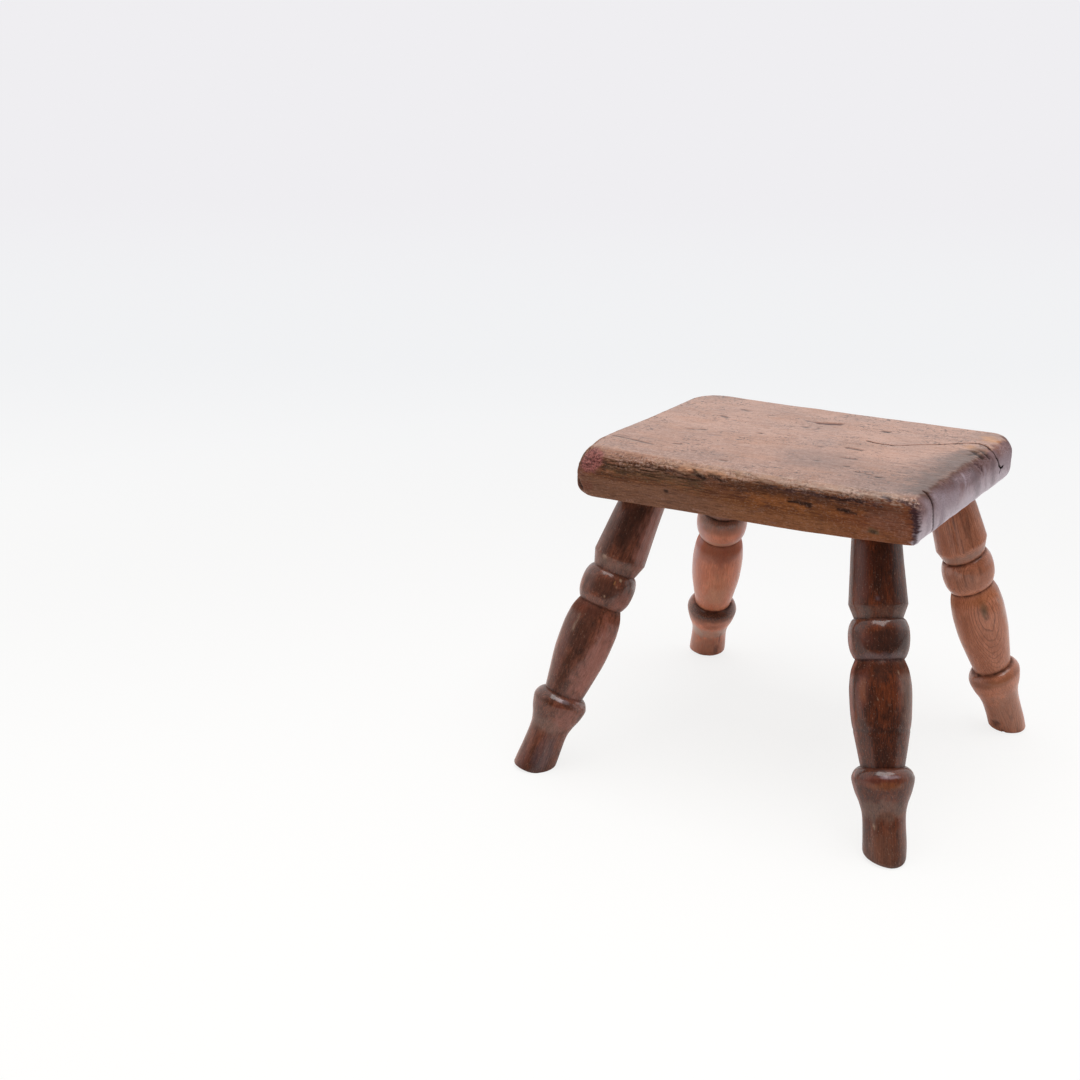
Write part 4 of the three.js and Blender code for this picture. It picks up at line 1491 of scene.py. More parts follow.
@dataclass
class TurnedLeg:
    """A leg turned by eye: cone, bead, vase, collar and short foot, with a spigot and its kerf.

    A station is a distance down the leg's axis from the underside of the seat. A bearing is the
    angle round the axis, in degrees from the stool's right-hand side towards its back.
    """

    side: Side
    socket_x: float
    socket_y: float
    foot_x: float
    foot_y: float
    finish: LegFinish
    girth: float = 1.0
    bead_rise: float = 0.0
    marks: tuple[Mark, ...] = ()
    flats: tuple[Spot, ...] = ()
    plain_patches: tuple[Spot, ...] = ()
    sole_lift: float = 0.0
    sole_lift_bearing: float = -147.5
    ring_tilt: float = 0.0
    tilt_axis: Place = (0.843, 0.537, 0.0)
    seed: float = 0.0
    groove_dirt: float = 0.4
    shift: tuple[float, float] = (0.0, 0.0)
    scribed_station: Optional[float] = None

    seat_end_radius: float = 18.0
    cone_station: float = 60.5
    cone_radius: float = 22.1
    upper_groove: float = 72.5
    lower_groove: float = 103.6
    groove_radius: float = 18.3
    bead_radius: float = 23.0
    vase_station: float = 130.0
    vase_radius: float = 23.2
    ankle_station: float = 184.2
    ankle_radius: float = 16.8
    collar_station: float = 193.5
    collar_radius: float = 23.3
    neck_station: float = 221.0
    neck_radius: float = 16.4
    foot_radius: float = 17.3
    sole_rounding: float = 3.0
    sole_height: float = 0.05
    spigot_length: float = 22.0
    kerf_depth: float = 18.0
    kerf_mouth: float = 4.6
    kerf_bottom: float = 1.8
    kerf_breadth: float = 60.0
    kerf_over: float = 1.0
    gap: float = 0.3
    mouth_below: float = 16.0
    sides: int = 112
    curve_steps: int = 8
    top: Vector = field(init=False)
    axes: Matrix = field(init=False)
    floor_station: float = field(init=False)

    def place(self, underside: float) -> None:
        """Stand the leg between the seat's underside and the floor.

        Args:
            underside: height of the seat's underside at the socket.
        """
        self.top = Vector((self.socket_x, self.socket_y, underside))
        up = (self.top - Vector((self.foot_x, self.foot_y, 0.0))).normalized()
        across = Vector((1.0, 0.0, 0.0))
        across = (across - across.dot(up) * up).normalized()
        turn = Matrix((across, up.cross(across), up)).transposed()
        self.axes = Matrix.Translation(self.top) @ turn.to_4x4()
        self.floor_station = underside / up.z

    def socket(self) -> Socket:
        """The hole that this leg's spigot sits in.

        Returns:
            The hole.
        """
        depth = self.spigot_length + self.gap
        return Socket(
            axes=self.axes,
            depth=depth,
            bottom_radius=self._taper(-depth) + self.gap,
            mouth_below=self.mouth_below,
            mouth_radius=self._taper(self.mouth_below) + self.gap,
        )

    def build(self) -> bpy.types.Object:
        """Turn, wear, saw and dress the leg.

        Returns:
            The finished leg.
        """
        shape = self._turned()
        relief = Relief(shape)
        self._wear(relief)
        relief.apply()
        self._level_foot(shape)
        self._lean_over(shape)
        bmesh.ops.transform(shape, matrix=self.axes, verts=shape.verts)
        for vert in shape.verts:
            vert.co.z = max(vert.co.z, self.sole_height)
        bmesh.ops.recalc_face_normals(shape, faces=shape.faces)
        piece = new_piece(shape, self.side.value + "_turned")
        cut_out(piece, self._kerf_cutter())
        turn = tuple(self.axes.to_euler())
        finish_piece(piece, self.side.value, self.finish.material(tuple(self.top), turn))
        return piece

    def _taper(self, station: float) -> float:
        """Radius of the plain taper that runs from the cone up through the spigot."""
        return mix(self.seat_end_radius, self.cone_radius, station / self.cone_station)

    def _outline(self) -> list[Point]:
        """Draw the turned outline, before it is spun.

        Returns:
            Stations and radii, from the spigot's end to the middle of the sole.
        """
        cone_end = self.cone_station - self.bead_rise
        upper = self.upper_groove - self.bead_rise
        lower = self.lower_groove - self.bead_rise
        middle, half = 0.5 * (upper + lower), 0.5 * (lower - upper)
        swell = self.bead_radius - self.groove_radius
        belly = self.vase_radius - self.groove_radius
        waist = self.vase_radius - self.ankle_radius
        step = self.collar_radius - self.ankle_radius
        fall = self.collar_radius - self.neck_radius
        shoulder = self.vase_station - lower
        taper = self.ankle_station - self.vase_station
        flare = self.neck_station - self.collar_station

        spigot_end = (-self.spigot_length, self._taper(-self.spigot_length))
        seat_line = (0.0, self._taper(0.0))
        cone_rim = (cone_end, self._taper(cone_end))
        outline = [(-self.spigot_length, 0.0)]
        outline += self._straight(spigot_end, seat_line, 6)
        outline += self._straight(seat_line, cone_rim, 34)
        outline += self._straight(cone_rim, (upper, self.groove_radius * self.girth), 9)
        bead = [
            (upper, self.groove_radius),
            (middle - 0.86 * half, self.groove_radius + 0.46 * swell),
            (middle - 0.5 * half, self.groove_radius + 0.89 * swell),
            (middle, self.bead_radius),
            (middle + 0.5 * half, self.groove_radius + 0.80 * swell),
            (middle + 0.86 * half, self.groove_radius + 0.34 * swell),
            (lower, self.groove_radius),
        ]
        vase = [
            (lower, self.groove_radius),
            (lower + 0.3 * shoulder, self.groove_radius + 0.62 * belly),
            (lower + 0.65 * shoulder, self.groove_radius + 0.93 * belly),
            (self.vase_station, self.vase_radius),
            (self.vase_station + 0.35 * taper, self.vase_radius - 0.14 * waist),
            (self.vase_station + 0.7 * taper, self.vase_radius - 0.58 * waist),
            (self.ankle_station, self.ankle_radius),
        ]
        collar = [
            (self.ankle_station, self.ankle_radius),
            (self.ankle_station + 0.9, self.ankle_radius + 0.32 * step),
            (self.ankle_station + 2.6, self.ankle_radius + 0.62 * step),
            (self.ankle_station + 5.4, self.ankle_radius + 0.88 * step),
            (self.collar_station, self.collar_radius),
            (self.collar_station + 0.3 * flare, self.collar_radius - 0.28 * fall),
            (self.collar_station + 0.62 * flare, self.collar_radius - 0.76 * fall),
            (self.neck_station, self.neck_radius),
            (self.floor_station - self.sole_rounding - 0.5, self.foot_radius),
        ]
        for points in (bead, vase, collar):
            outline += self._spline(points)
        end = self.floor_station
        rim = self.foot_radius * self.girth
        turns = [math.radians(angle) for angle in range(0, 91, 15)]
        rounding = self.sole_rounding
        outline += [
            (end - rounding * (1.0 - math.sin(turn)), rim - rounding * (1.0 - math.cos(turn)))
            for turn in turns
        ]
        sole = rim - rounding
        outline += [(end, sole * part) for part in (0.75, 0.5, 0.25, 0.0)]
        return outline

    @staticmethod
    def _straight(start: Point, stop: Point, steps: int) -> list[Point]:
        """Points of a straight stretch, without its last one."""
        parts = [i / steps for i in range(steps)]
        return [(mix(start[0], stop[0], part), mix(start[1], stop[1], part)) for part in parts]

    def _spline(self, points: Sequence[Point]) -> list[Point]:
        """A smooth curve through turned points, with the leg's girth, without its last point.

        Args:
            points: stations and radii on the curve.

        Returns:
            Points along the curve.
        """
        scaled = [Vector((station, radius * self.girth)) for station, radius in points]
        ends = [2.0 * scaled[0] - scaled[1], *scaled, 2.0 * scaled[-1] - scaled[-2]]
        curve = []
        for before, start, stop, after in zip(ends, ends[1:], ends[2:], ends[3:]):
            for i in range(self.curve_steps):
                t = i / self.curve_steps
                lead = (stop - before) * 0.5
                trail = (after - start) * 0.5
                bent = (2.0 * start - 2.0 * stop + lead + trail) * t**3
                bent += (3.0 * stop - 3.0 * start - 2.0 * lead - trail) * t**2
                curve.append(tuple(bent + lead * t + start))
        return curve

    def _turned(self) -> bmesh.types.BMesh:
        """The outline spun about the leg's own axis, which points up.

        Returns:
            The leg, pointing down from its joint.
        """
        shape = bmesh.new()
        verts = [shape.verts.new((radius, 0.0, -station)) for station, radius in self._outline()]
        edges = [shape.edges.new(pair) for pair in zip(verts, verts[1:])]
        bmesh.ops.spin(
            shape,
            geom=verts + edges,
            axis=(0.0, 0.0, 1.0),
            cent=(0.0, 0.0, 0.0),
            angle=2.0 * math.pi,
            steps=self.sides,
            use_merge=True,
        )
        bmesh.ops.remove_doubles(shape, verts=shape.verts, dist=0.001)
        bmesh.ops.recalc_face_normals(shape, faces=shape.faces)
        return shape

    def _wear(self, relief: Relief) -> None:
        """Press in the turner's unevenness and the knocks of use, and paint them.

        Args:
            relief: the leg's points.
        """
        places = relief.places
        station = -places[:, 2]
        bearing = np.degrees(np.arctan2(places[:, 1], places[:, 0]))
        shown = smooth(1.0, 6.0, station)

        relief.push += 0.16 * shown * grain_noise(places, (26.0, 26.0, 40.0), 2, shift=self.seed)
        relief.push += 0.05 * shown * grain_noise(places, (3.0, 3.0, 14.0), 2, shift=self.seed + 4.0)
        rough = grain_noise(places, (5.0, 5.0, 7.0), 3, shift=self.seed + 9.0)
        for flat in self.flats:
            relief.push += flat.cover(station, bearing)
        for patch in self.plain_patches:
            relief.paint("plain", patch.cover(station, bearing))
        around = np.hypot(places[:, 0], places[:, 1])
        for mark in self.marks:
            sideways = np.radians(wrapped(bearing - mark.bearing)) * around
            spot = bell(np.hypot(sideways / mark.around, (station - mark.station) / mark.along))
            amount = smooth(0.2, 0.8, spot + mark.broken * rough * smooth(0.05, 0.3, spot))
            relief.tint(mark.paint.value, mark.strength * amount)
            relief.push += mark.cut * amount
        if self.scribed_station is not None:
            ring = bell((station - self.scribed_station) / 0.9)
            relief.push += 0.3 * ring
            relief.tint(Paint.SOOT.value, 0.5 * ring)
        self._shade_turnings(relief, station, rough)

    def _shade_turnings(self, relief: Relief, station: np.ndarray, rough: np.ndarray) -> None:
        """Paint the polished swellings, the dull shoulder, and the dirt in the grooves and at both ends.

        Args:
            relief: the leg's points.
            station: each point's distance below the seat.
            rough: a noise that breaks the dirt up.
        """
        bead_top = self.upper_groove - self.bead_rise + 4.5
        on_bead = bell((station - bead_top) / 4.0)
        relief.paint("shine", on_bead + bell((station - self.ankle_station - 3.5) / 3.0))
        shoulder = bell((station - self.lower_groove + self.bead_rise - 6.0) / 5.0)
        relief.paint("matt", shoulder)
        grooves = (
            (self.upper_groove - self.bead_rise, 1.2),
            (self.lower_groove - self.bead_rise, 1.2),
            (self.ankle_station - 0.2, 1.5),
        )
        for place, reach in grooves:
            in_groove = bell((station - place) / reach)
            relief.paint("dirt", self.groove_dirt * in_groove * (0.9 + 0.5 * rough))
        relief.paint("dirt", 0.6 * (1.0 - smooth(0.0, 6.0, station)) * smooth(1.0, 6.0, station))
        sole = smooth(self.floor_station - 10.0, self.floor_station + 2.0, station)
        relief.paint("dirt", 0.25 * sole * smooth(-0.1, 0.5, rough))
        # pale dust on the chamfer under the cone, with a painted reflection of the floor
        chamfer_dust_and_sheen = bell((station - self.cone_station + self.bead_rise - 6.0) / 4.0)
        relief.tint(Paint.DUST.value, 0.35 * chamfer_dust_and_sheen * (0.8 + 0.8 * rough))

    def _level_foot(self, shape: bmesh.types.BMesh) -> None:
        """Shear the foot so that its sole lies level on the floor.

        Args:
            shape: the leg, in its own axes.
        """
        up = self.axes.to_3x3() @ Vector((0.0, 0.0, 1.0))
        across = self.axes.to_3x3() @ Vector((1.0, 0.0, 0.0))
        side = self.axes.to_3x3() @ Vector((0.0, 1.0, 0.0))
        lifted = math.radians(self.sole_lift_bearing)
        for vert in shape.verts:
            part = smooth(self.neck_station - 8.0, self.floor_station - 6.0, -vert.co.z)
            lean = (vert.co.x * across.z + vert.co.y * side.z) / up.z
            vert.co.z -= part * lean
            toward = (vert.co.x * math.cos(lifted) + vert.co.y * math.sin(lifted)) / self.foot_radius
            low = smooth(self.floor_station - 16.0, self.floor_station - 2.0, -vert.co.z)
            vert.co.z += self.sole_lift * float(smooth(-0.25, 1.0, toward) * low)

    def _lean_over(self, shape: bmesh.types.BMesh) -> None:
        """Shift the leg and tilt its rings a little below its joint, as the real one stands.

        Args:
            shape: the leg, in its own axes.
        """
        shift = self.axes.to_3x3().inverted() @ Vector((*self.shift, 0.0))
        side = self.axes.to_3x3().inverted() @ Vector(self.tilt_axis)
        for vert in shape.verts:
            turned = smooth(15.0, 55.0, -vert.co.z) * (1.0 - smooth(212.0, 240.0, -vert.co.z))
            vert.co.z += self.ring_tilt * turned * (vert.co.x * side.x + vert.co.y * side.y)
            vert.co += shift * float(smooth(0.0, 30.0, -vert.co.z))

    def _kerf_cutter(self) -> bpy.types.Object:
        """The saw cut in the spigot's end, wider at its mouth.

        Returns:
            The cutter.
        """
        shape = bmesh.new()
        bmesh.ops.create_cube(shape, size=1.0)
        slope = (self.kerf_mouth - self.kerf_bottom) / self.kerf_depth
        top_width = self.kerf_mouth + slope * self.kerf_over
        height = self.kerf_depth + self.kerf_over
        bmesh.ops.scale(shape, vec=(self.kerf_bottom, self.kerf_breadth, height), verts=shape.verts)
        top = [vert for vert in shape.verts if vert.co.z > 0.0]
        bmesh.ops.scale(shape, vec=(top_width / self.kerf_bottom, 1.0, 1.0), verts=top)
        middle = Matrix.Translation((0.0, 0.0, self.spigot_length + self.kerf_over - 0.5 * height))
        bmesh.ops.transform(shape, matrix=self.axes @ middle, verts=shape.verts)
        return new_piece(shape, "kerf_cutter")


@dataclass
class Studio:
    """A white floor and backdrop, soft lamps, and the camera."""

    azimuth: float = 32.536
    elevation: float = 17.581
    roll: float = 0.3965
    lens: float = 48.843
    sensor_width: float = 36.0
    clip_end: float = 100.0
    eye: Place = (450.66, -1105.20, 555.27)
    floor_radius: float = 40000.0
    backdrop: Colour = (0.864, 0.855, 0.88)
    floor_near: Colour = (0.998, 0.995, 0.985)
    floor_middle: Colour = (0.952, 0.950, 0.948)
    floor_far: Colour = (0.882, 0.888, 0.902)
    floor_paint: Colour = (0.945, 0.93, 0.91)
    dark_room: Colour = (0.03, 0.03, 0.03)
    side_walls: Colour = (0.86, 0.87, 0.885)
    dark_walls: Colour = (0.05, 0.05, 0.05)
    sweep_end: float = 430.0
    shadow_share: float = 0.17
    lamp_place: Place = (220.0, -350.0, 1900.0)
    lamp_target: Place = (220.0, -350.0, 0.0)
    lamp_size: float = 1500.0
    lamp_power: float = 26.0

    def build(self) -> None:
        """Set up everything round the stool."""
        bpy.context.scene.view_settings.view_transform = "Standard"
        self._camera()
        self._floor()
        self._world()
        self._lamp()

    def _camera(self) -> None:
        """Stand the camera where the picture is taken from."""
        turn, tilt, roll = (math.radians(v) for v in (self.azimuth, self.elevation, self.roll))
        back = Vector((math.sin(turn) * math.cos(tilt), -math.cos(turn) * math.cos(tilt), math.sin(tilt)))
        right = Vector((math.cos(turn), math.sin(turn), 0.0))
        up = back.cross(right)
        rolled_right = right * math.cos(roll) + up * math.sin(roll)
        rolled_up = up * math.cos(roll) - right * math.sin(roll)
        data = bpy.data.cameras.new("camera")
        data.lens = self.lens
        data.sensor_width = self.sensor_width
        data.clip_end = self.clip_end
        camera = bpy.data.objects.new("camera", data)
        axes = Matrix((rolled_right, rolled_up, back)).transposed().to_4x4()
        camera.matrix_world = Matrix.Translation(Vector(self.eye) * MM) @ axes
        bpy.context.scene.collection.objects.link(camera)
        bpy.context.scene.camera = camera

    def _floor(self) -> None:
        """Lay the floor, white nearby and greyer far away, with a trace of the stool's shadow."""
        shape = bmesh.new()
        bmesh.ops.create_circle(shape, cap_ends=True, segments=64, radius=self.floor_radius * MM)
        floor = new_piece(shape, "floor")
        material, graph = new_material("white_floor")
        x, y, _ = graph.split(graph.place())
        turn = math.radians(self.azimuth)
        nearer = x * math.sin(turn) - y * math.cos(turn)
        shown = graph.blend(nearer.above(-520.0, 330.0), self.floor_middle, self.floor_near)
        shown = graph.blend(1.0 - nearer.above(-1900.0, -350.0), shown, self.floor_far)
        shown = graph.blend(1.0 - nearer.above(-6000.0, -1500.0), shown, self.backdrop)
        far = (x * x + y * y) ** 0.5
        seen = graph.signal("ShaderNodeLightPath", output="Is Camera Ray")
        mirrored = graph.signal("ShaderNodeLightPath", output="Is Glossy Ray")
        shadow = self.shadow_share * (1.0 - far.above(500.0, 1300.0))
        beyond = nearer.above(self.sweep_end - 60.0, self.sweep_end + 60.0) * mirrored
        colour = graph.blend(beyond, self.floor_paint, self.dark_room)
        paint = graph.signal("ShaderNodeBsdfDiffuse", sockets={"Color": colour})
        glow = graph.signal("ShaderNodeEmission", sockets={"Color": shown})
        glowing = seen * (1.0 - shadow)
        surface = graph.signal("ShaderNodeMixShader", sockets={0: glowing, 1: paint, 2: glow})
        graph.node("ShaderNodeOutputMaterial", sockets={"Surface": surface})
        floor.data.materials.append(material)

    def _world(self) -> None:
        """Light the stool from the backdrop and the sides, with a dark room behind the camera."""
        world = bpy.data.worlds.new("studio")
        world.use_nodes = True
        bpy.context.scene.world = world
        graph = Graph(world.node_tree)
        direction = graph.signal("ShaderNodeTexCoord", output="Generated")
        turn = math.radians(self.azimuth)
        towards_camera = (math.sin(turn), -math.cos(turn), 0.25)
        settings = {"operation": "DOT_PRODUCT"}
        sockets = {0: direction, 1: towards_camera}
        facing = graph.signal("ShaderNodeVectorMath", settings, sockets, output="Value")
        around = graph.blend(facing.above(0.0, 0.75), self.side_walls, self.dark_walls)
        room = graph.signal("ShaderNodeBackground", sockets={"Color": around, "Strength": 1.0})
        wall = graph.signal("ShaderNodeBackground", sockets={"Color": self.backdrop, "Strength": 1.0})
        camera_ray = graph.signal("ShaderNodeLightPath", output="Is Camera Ray")
        surface = graph.signal("ShaderNodeMixShader", sockets={0: camera_ray, 1: room, 2: wall})
        graph.node("ShaderNodeOutputWorld", sockets={"Surface": surface})

    def _lamp(self) -> None:
        """Hang a square soft lamp over the stool."""
        data = bpy.data.lights.new("overhead_softbox", "AREA")
        data.shape = "SQUARE"
        data.size = self.lamp_size * MM
        data.energy = self.lamp_power
        lamp = bpy.data.objects.new("overhead_softbox", data)
        place = Vector(self.lamp_place)
        aim = (Vector(self.lamp_target) - place).to_track_quat("-Z", "Y")
        lamp.matrix_world = Matrix.Translation(place * MM) @ aim.to_matrix().to_4x4()
        lamp.visible_camera = False
        bpy.context.scene.collection.objects.link(lamp)


# Stains, knocks and worn places of each leg, with painted shade, shadow, sheen and highlights among them
FRONT_LEFT_MARKS: tuple[Mark, ...] = (
    # painted shade down the middle of the cone
    Mark(Paint.SOOT, 28.0, -70.0, 30.0, 9.0, 0.6),
    # painted shade across the middle of the bead
    Mark(Paint.SOOT, 87.0, -66.0, 9.0, 20.0, 0.55),
    Mark(Paint.RUST, 108.0, -90.0, 7.0, 14.0, 0.4),
    # painted highlight on the collar's top
    Mark(Paint.LILAC_SHEEN, 187.5, -58.0, 1.8, 7.5, 0.6),
    Mark(Paint.CLAY, 36.0, -118.0, 26.0, 7.0, 0.4),
    # painted rose sheen on the right flank of the cone
    Mark(Paint.ROSE_SHEEN, 36.0, -8.0, 36.0, 12.0, 0.7),
    Mark(Paint.STRAW, 59.1, -114.8, 2.4, 2.0, 0.7, 0.2, 1.0),
    Mark(Paint.STRAW, 62.8, -97.5, 1.4, 2.6, 0.5, 0.2, 1.0),
    Mark(Paint.STRAW, 76.4, -39.8, 1.5, 1.1, 0.9, 0.4),
    Mark(Paint.ORANGE, 79.6, -51.0, 1.8, 1.1, 0.9, 0.4),
    Mark(Paint.STRAW, 82.2, -46.0, 1.1, 1.0, 0.9, 0.3),
    Mark(Paint.STRAW, 92.7, -61.7, 1.2, 1.0, 0.8, 0.3),
    Mark(Paint.STRAW, 124.0, -97.6, 11.0, 1.0, 0.4, 0.0, 0.8),
    # painted shade down the middle of the vase
    Mark(Paint.SOOT, 124.0, -74.0, 30.0, 9.0, 0.55),
    # painted rose sheen on the right flank of the vase, bead and neck
    Mark(Paint.ROSE_SHEEN, 150.0, -14.0, 40.0, 16.0, 0.85),
    Mark(Paint.ROSE_SHEEN, 92.0, -12.0, 10.0, 13.0, 0.5),
    Mark(Paint.ROSE_SHEEN, 204.0, -32.0, 13.0, 10.0, 0.6),
    Mark(Paint.RUST, 150.0, -108.0, 24.0, 6.0, 0.4),
    Mark(Paint.RUST, 196.7, -108.7, 3.0, 4.5, 0.75),
    Mark(Paint.RUST, 193.0, -60.0, 2.4, 5.0, 0.65),
    Mark(Paint.SOOT, 189.0, -42.0, 3.0, 8.0, 0.6),
    Mark(Paint.DUST, 212.0, -80.0, 7.0, 18.0, 0.4),
    Mark(Paint.SLATE, 236.0, -50.0, 18.0, 10.0, 0.4),
    Mark(Paint.RUST, 246.0, -105.0, 14.0, 8.0, 0.4),
)

FRONT_RIGHT_MARKS: tuple[Mark, ...] = (
    Mark(Paint.RUST, 34.0, -108.0, 32.0, 9.0, 0.5),
    # painted shade down the middle of the cone
    Mark(Paint.SOOT, 28.0, -64.0, 32.0, 7.0, 0.45),
    Mark(Paint.SLATE, 55.9, -72.7, 2.0, 2.0, 0.6),
    Mark(Paint.SOOT, 62.0, -98.0, 5.0, 3.0, 0.4),
    # painted shade across the middle of the bead
    Mark(Paint.SOOT, 88.0, -58.0, 10.0, 28.0, 0.75),
    Mark(Paint.RUST, 86.0, -98.0, 7.0, 8.0, 0.35),
    Mark(Paint.RUST, 126.0, -112.0, 18.0, 5.0, 0.6),
    Mark(Paint.EMBER, 124.0, -106.0, 9.0, 4.0, 0.4),
    # painted shade down the middle of the vase
    Mark(Paint.SOOT, 112.0, -72.0, 10.0, 5.0, 0.5),
    # painted sheen on the right flank of the vase, in dust colour
    Mark(Paint.DUST, 128.0, -14.0, 26.0, 7.0, 0.35),
    Mark(Paint.STRAW, 110.7, -33.0, 1.5, 0.8, 0.8, 0.2),
    Mark(Paint.STRAW, 130.9, -78.0, 0.9, 0.9, 0.8, 0.2),
    Mark(Paint.STRAW, 134.2, -56.3, 0.8, 0.8, 0.6, 0.2),
    Mark(Paint.SOOT, 172.0, -60.0, 10.0, 9.0, 0.35),
    Mark(Paint.RUST, 191.0, -85.0, 5.0, 20.0, 0.65),
    # painted reflection of the floor on the bead's underside
    Mark(Paint.SLATE, 99.5, -57.0, 3.5, 30.0, 0.45),
    Mark(Paint.SOOT, 107.0, -60.0, 6.0, 26.0, 0.45),
    Mark(Paint.RUST, 120.0, -105.0, 16.0, 6.0, 0.35),
    # painted rose sheen down the left rim
    Mark(Paint.ROSE_SHEEN, 130.0, -142.0, 55.0, 4.0, 0.6),
    Mark(Paint.ROSE_SHEEN, 87.0, -142.0, 12.0, 4.0, 0.4),
    Mark(Paint.ROSE_SHEEN, 196.0, -142.0, 14.0, 4.0, 0.5),
    # painted grey sheen down the right rim
    Mark(Paint.SLATE, 87.0, 24.0, 12.0, 5.0, 0.4),
    Mark(Paint.SLATE, 36.0, 22.0, 32.0, 5.0, 0.35),
    Mark(Paint.DUST, 213.0, -80.0, 9.0, 26.0, 0.45),
    Mark(Paint.DUST, 240.0, -57.0, 22.0, 34.0, 0.2),
    # painted highlight on the collar's top
    Mark(Paint.LILAC_SHEEN, 187.5, -58.0, 1.6, 8.0, 0.5),
    Mark(Paint.EMBER, 194.0, -66.0, 3.4, 14.0, 0.35),
    Mark(Paint.STRAW, 224.2, -100.0, 1.3, 0.9, 0.8, 0.2),
    Mark(Paint.CLAY, 242.0, -85.0, 16.0, 12.0, 0.35),
)

BACK_LEFT_MARKS: tuple[Mark, ...] = (
    # darker hidden back of the leg, against the painted light lifted into its stain colours
    Mark(Paint.CLAY, 120.0, 122.5, 400.0, 30.0, 0.8, 0.0, 0.1),
    # painted shadow of the seat over the bead's top
    Mark(Paint.CLAY, 69.0, -57.0, 15.0, 42.0, 0.75, 0.0, 0.1),
    Mark(Paint.BARK, 64.0, -57.0, 11.0, 36.0, 0.85, 0.0, 0.1),
    # painted reflection of the floor on the bead's lower rim
    Mark(Paint.STRAW, 92.5, -57.0, 2.2, 26.0, 0.45),
    Mark(Paint.RUST, 104.0, -57.0, 12.0, 30.0, 0.5, 0.0, 0.1),
    # painted shadow of the seat on the left of the bead's top
    Mark(Paint.BARK, 70.0, -118.0, 16.0, 16.0, 0.5, 0.0, 0.1),
    Mark(Paint.PURPLE, 104.0, -57.0, 16.0, 56.0, 0.3, 0.0, 0.1),
    Mark(Paint.PURPLE, 89.0, -57.0, 6.0, 40.0, 0.2),
    # painted rose sheen on both rims of the vase
    Mark(Paint.ROSE_SHEEN, 140.0, -128.0, 50.0, 12.0, 0.35),
    Mark(Paint.ROSE_SHEEN, 140.0, 12.0, 50.0, 12.0, 0.35),
    # painted lilac sheen on both rims
    Mark(Paint.LILAC_SHEEN, 116.0, -140.0, 40.0, 8.0, 0.35),
    Mark(Paint.LILAC_SHEEN, 116.0, 24.0, 40.0, 8.0, 0.35),
    Mark(Paint.LILAC_SHEEN, 86.0, -126.0, 12.0, 12.0, 0.35),
    Mark(Paint.LILAC_SHEEN, 86.0, 10.0, 12.0, 12.0, 0.35),
    Mark(Paint.RUST, 124.0, -62.0, 9.0, 9.0, 0.25),
    Mark(Paint.SALMON, 148.0, -57.0, 22.0, 14.0, 0.3),
    Mark(Paint.STRAW, 160.0, -62.0, 16.0, 14.0, 0.25),
    Mark(Paint.BARK, 188.0, -125.0, 9.0, 20.0, 0.8, 0.0, 0.1),
    Mark(Paint.BARK, 188.0, 10.0, 9.0, 20.0, 0.8, 0.0, 0.1),
    Mark(Paint.BARK, 185.5, -57.0, 5.4, 60.0, 0.85, 0.0, 0.1),
    Mark(Paint.UMBER, 183.5, -57.0, 3.6, 34.0, 0.95, 0.0, 0.1),
    Mark(Paint.CLAY, 193.0, -57.0, 5.0, 30.0, 0.45),
    Mark(Paint.RUST, 198.0, -60.0, 4.0, 12.0, 0.4),
    # painted pale highlights round the neck
    Mark(Paint.BONE, 211.0, -120.0, 8.0, 14.0, 0.75),
    Mark(Paint.BONE, 211.0, 5.0, 8.0, 14.0, 0.75),
    Mark(Paint.BONE, 210.0, -60.0, 8.0, 30.0, 0.6),
    Mark(Paint.DUST, 238.0, -62.0, 24.0, 40.0, 0.5),
    Mark(Paint.SOOT, 222.0, -28.0, 10.0, 1.2, 0.6, 0.2),
    Mark(Paint.SOOT, 238.0, -38.0, 9.0, 3.0, 0.55, 0.3),
    Mark(Paint.SOOT, 250.0, -60.0, 3.0, 20.0, 0.35, 0.2, 0.6),
)

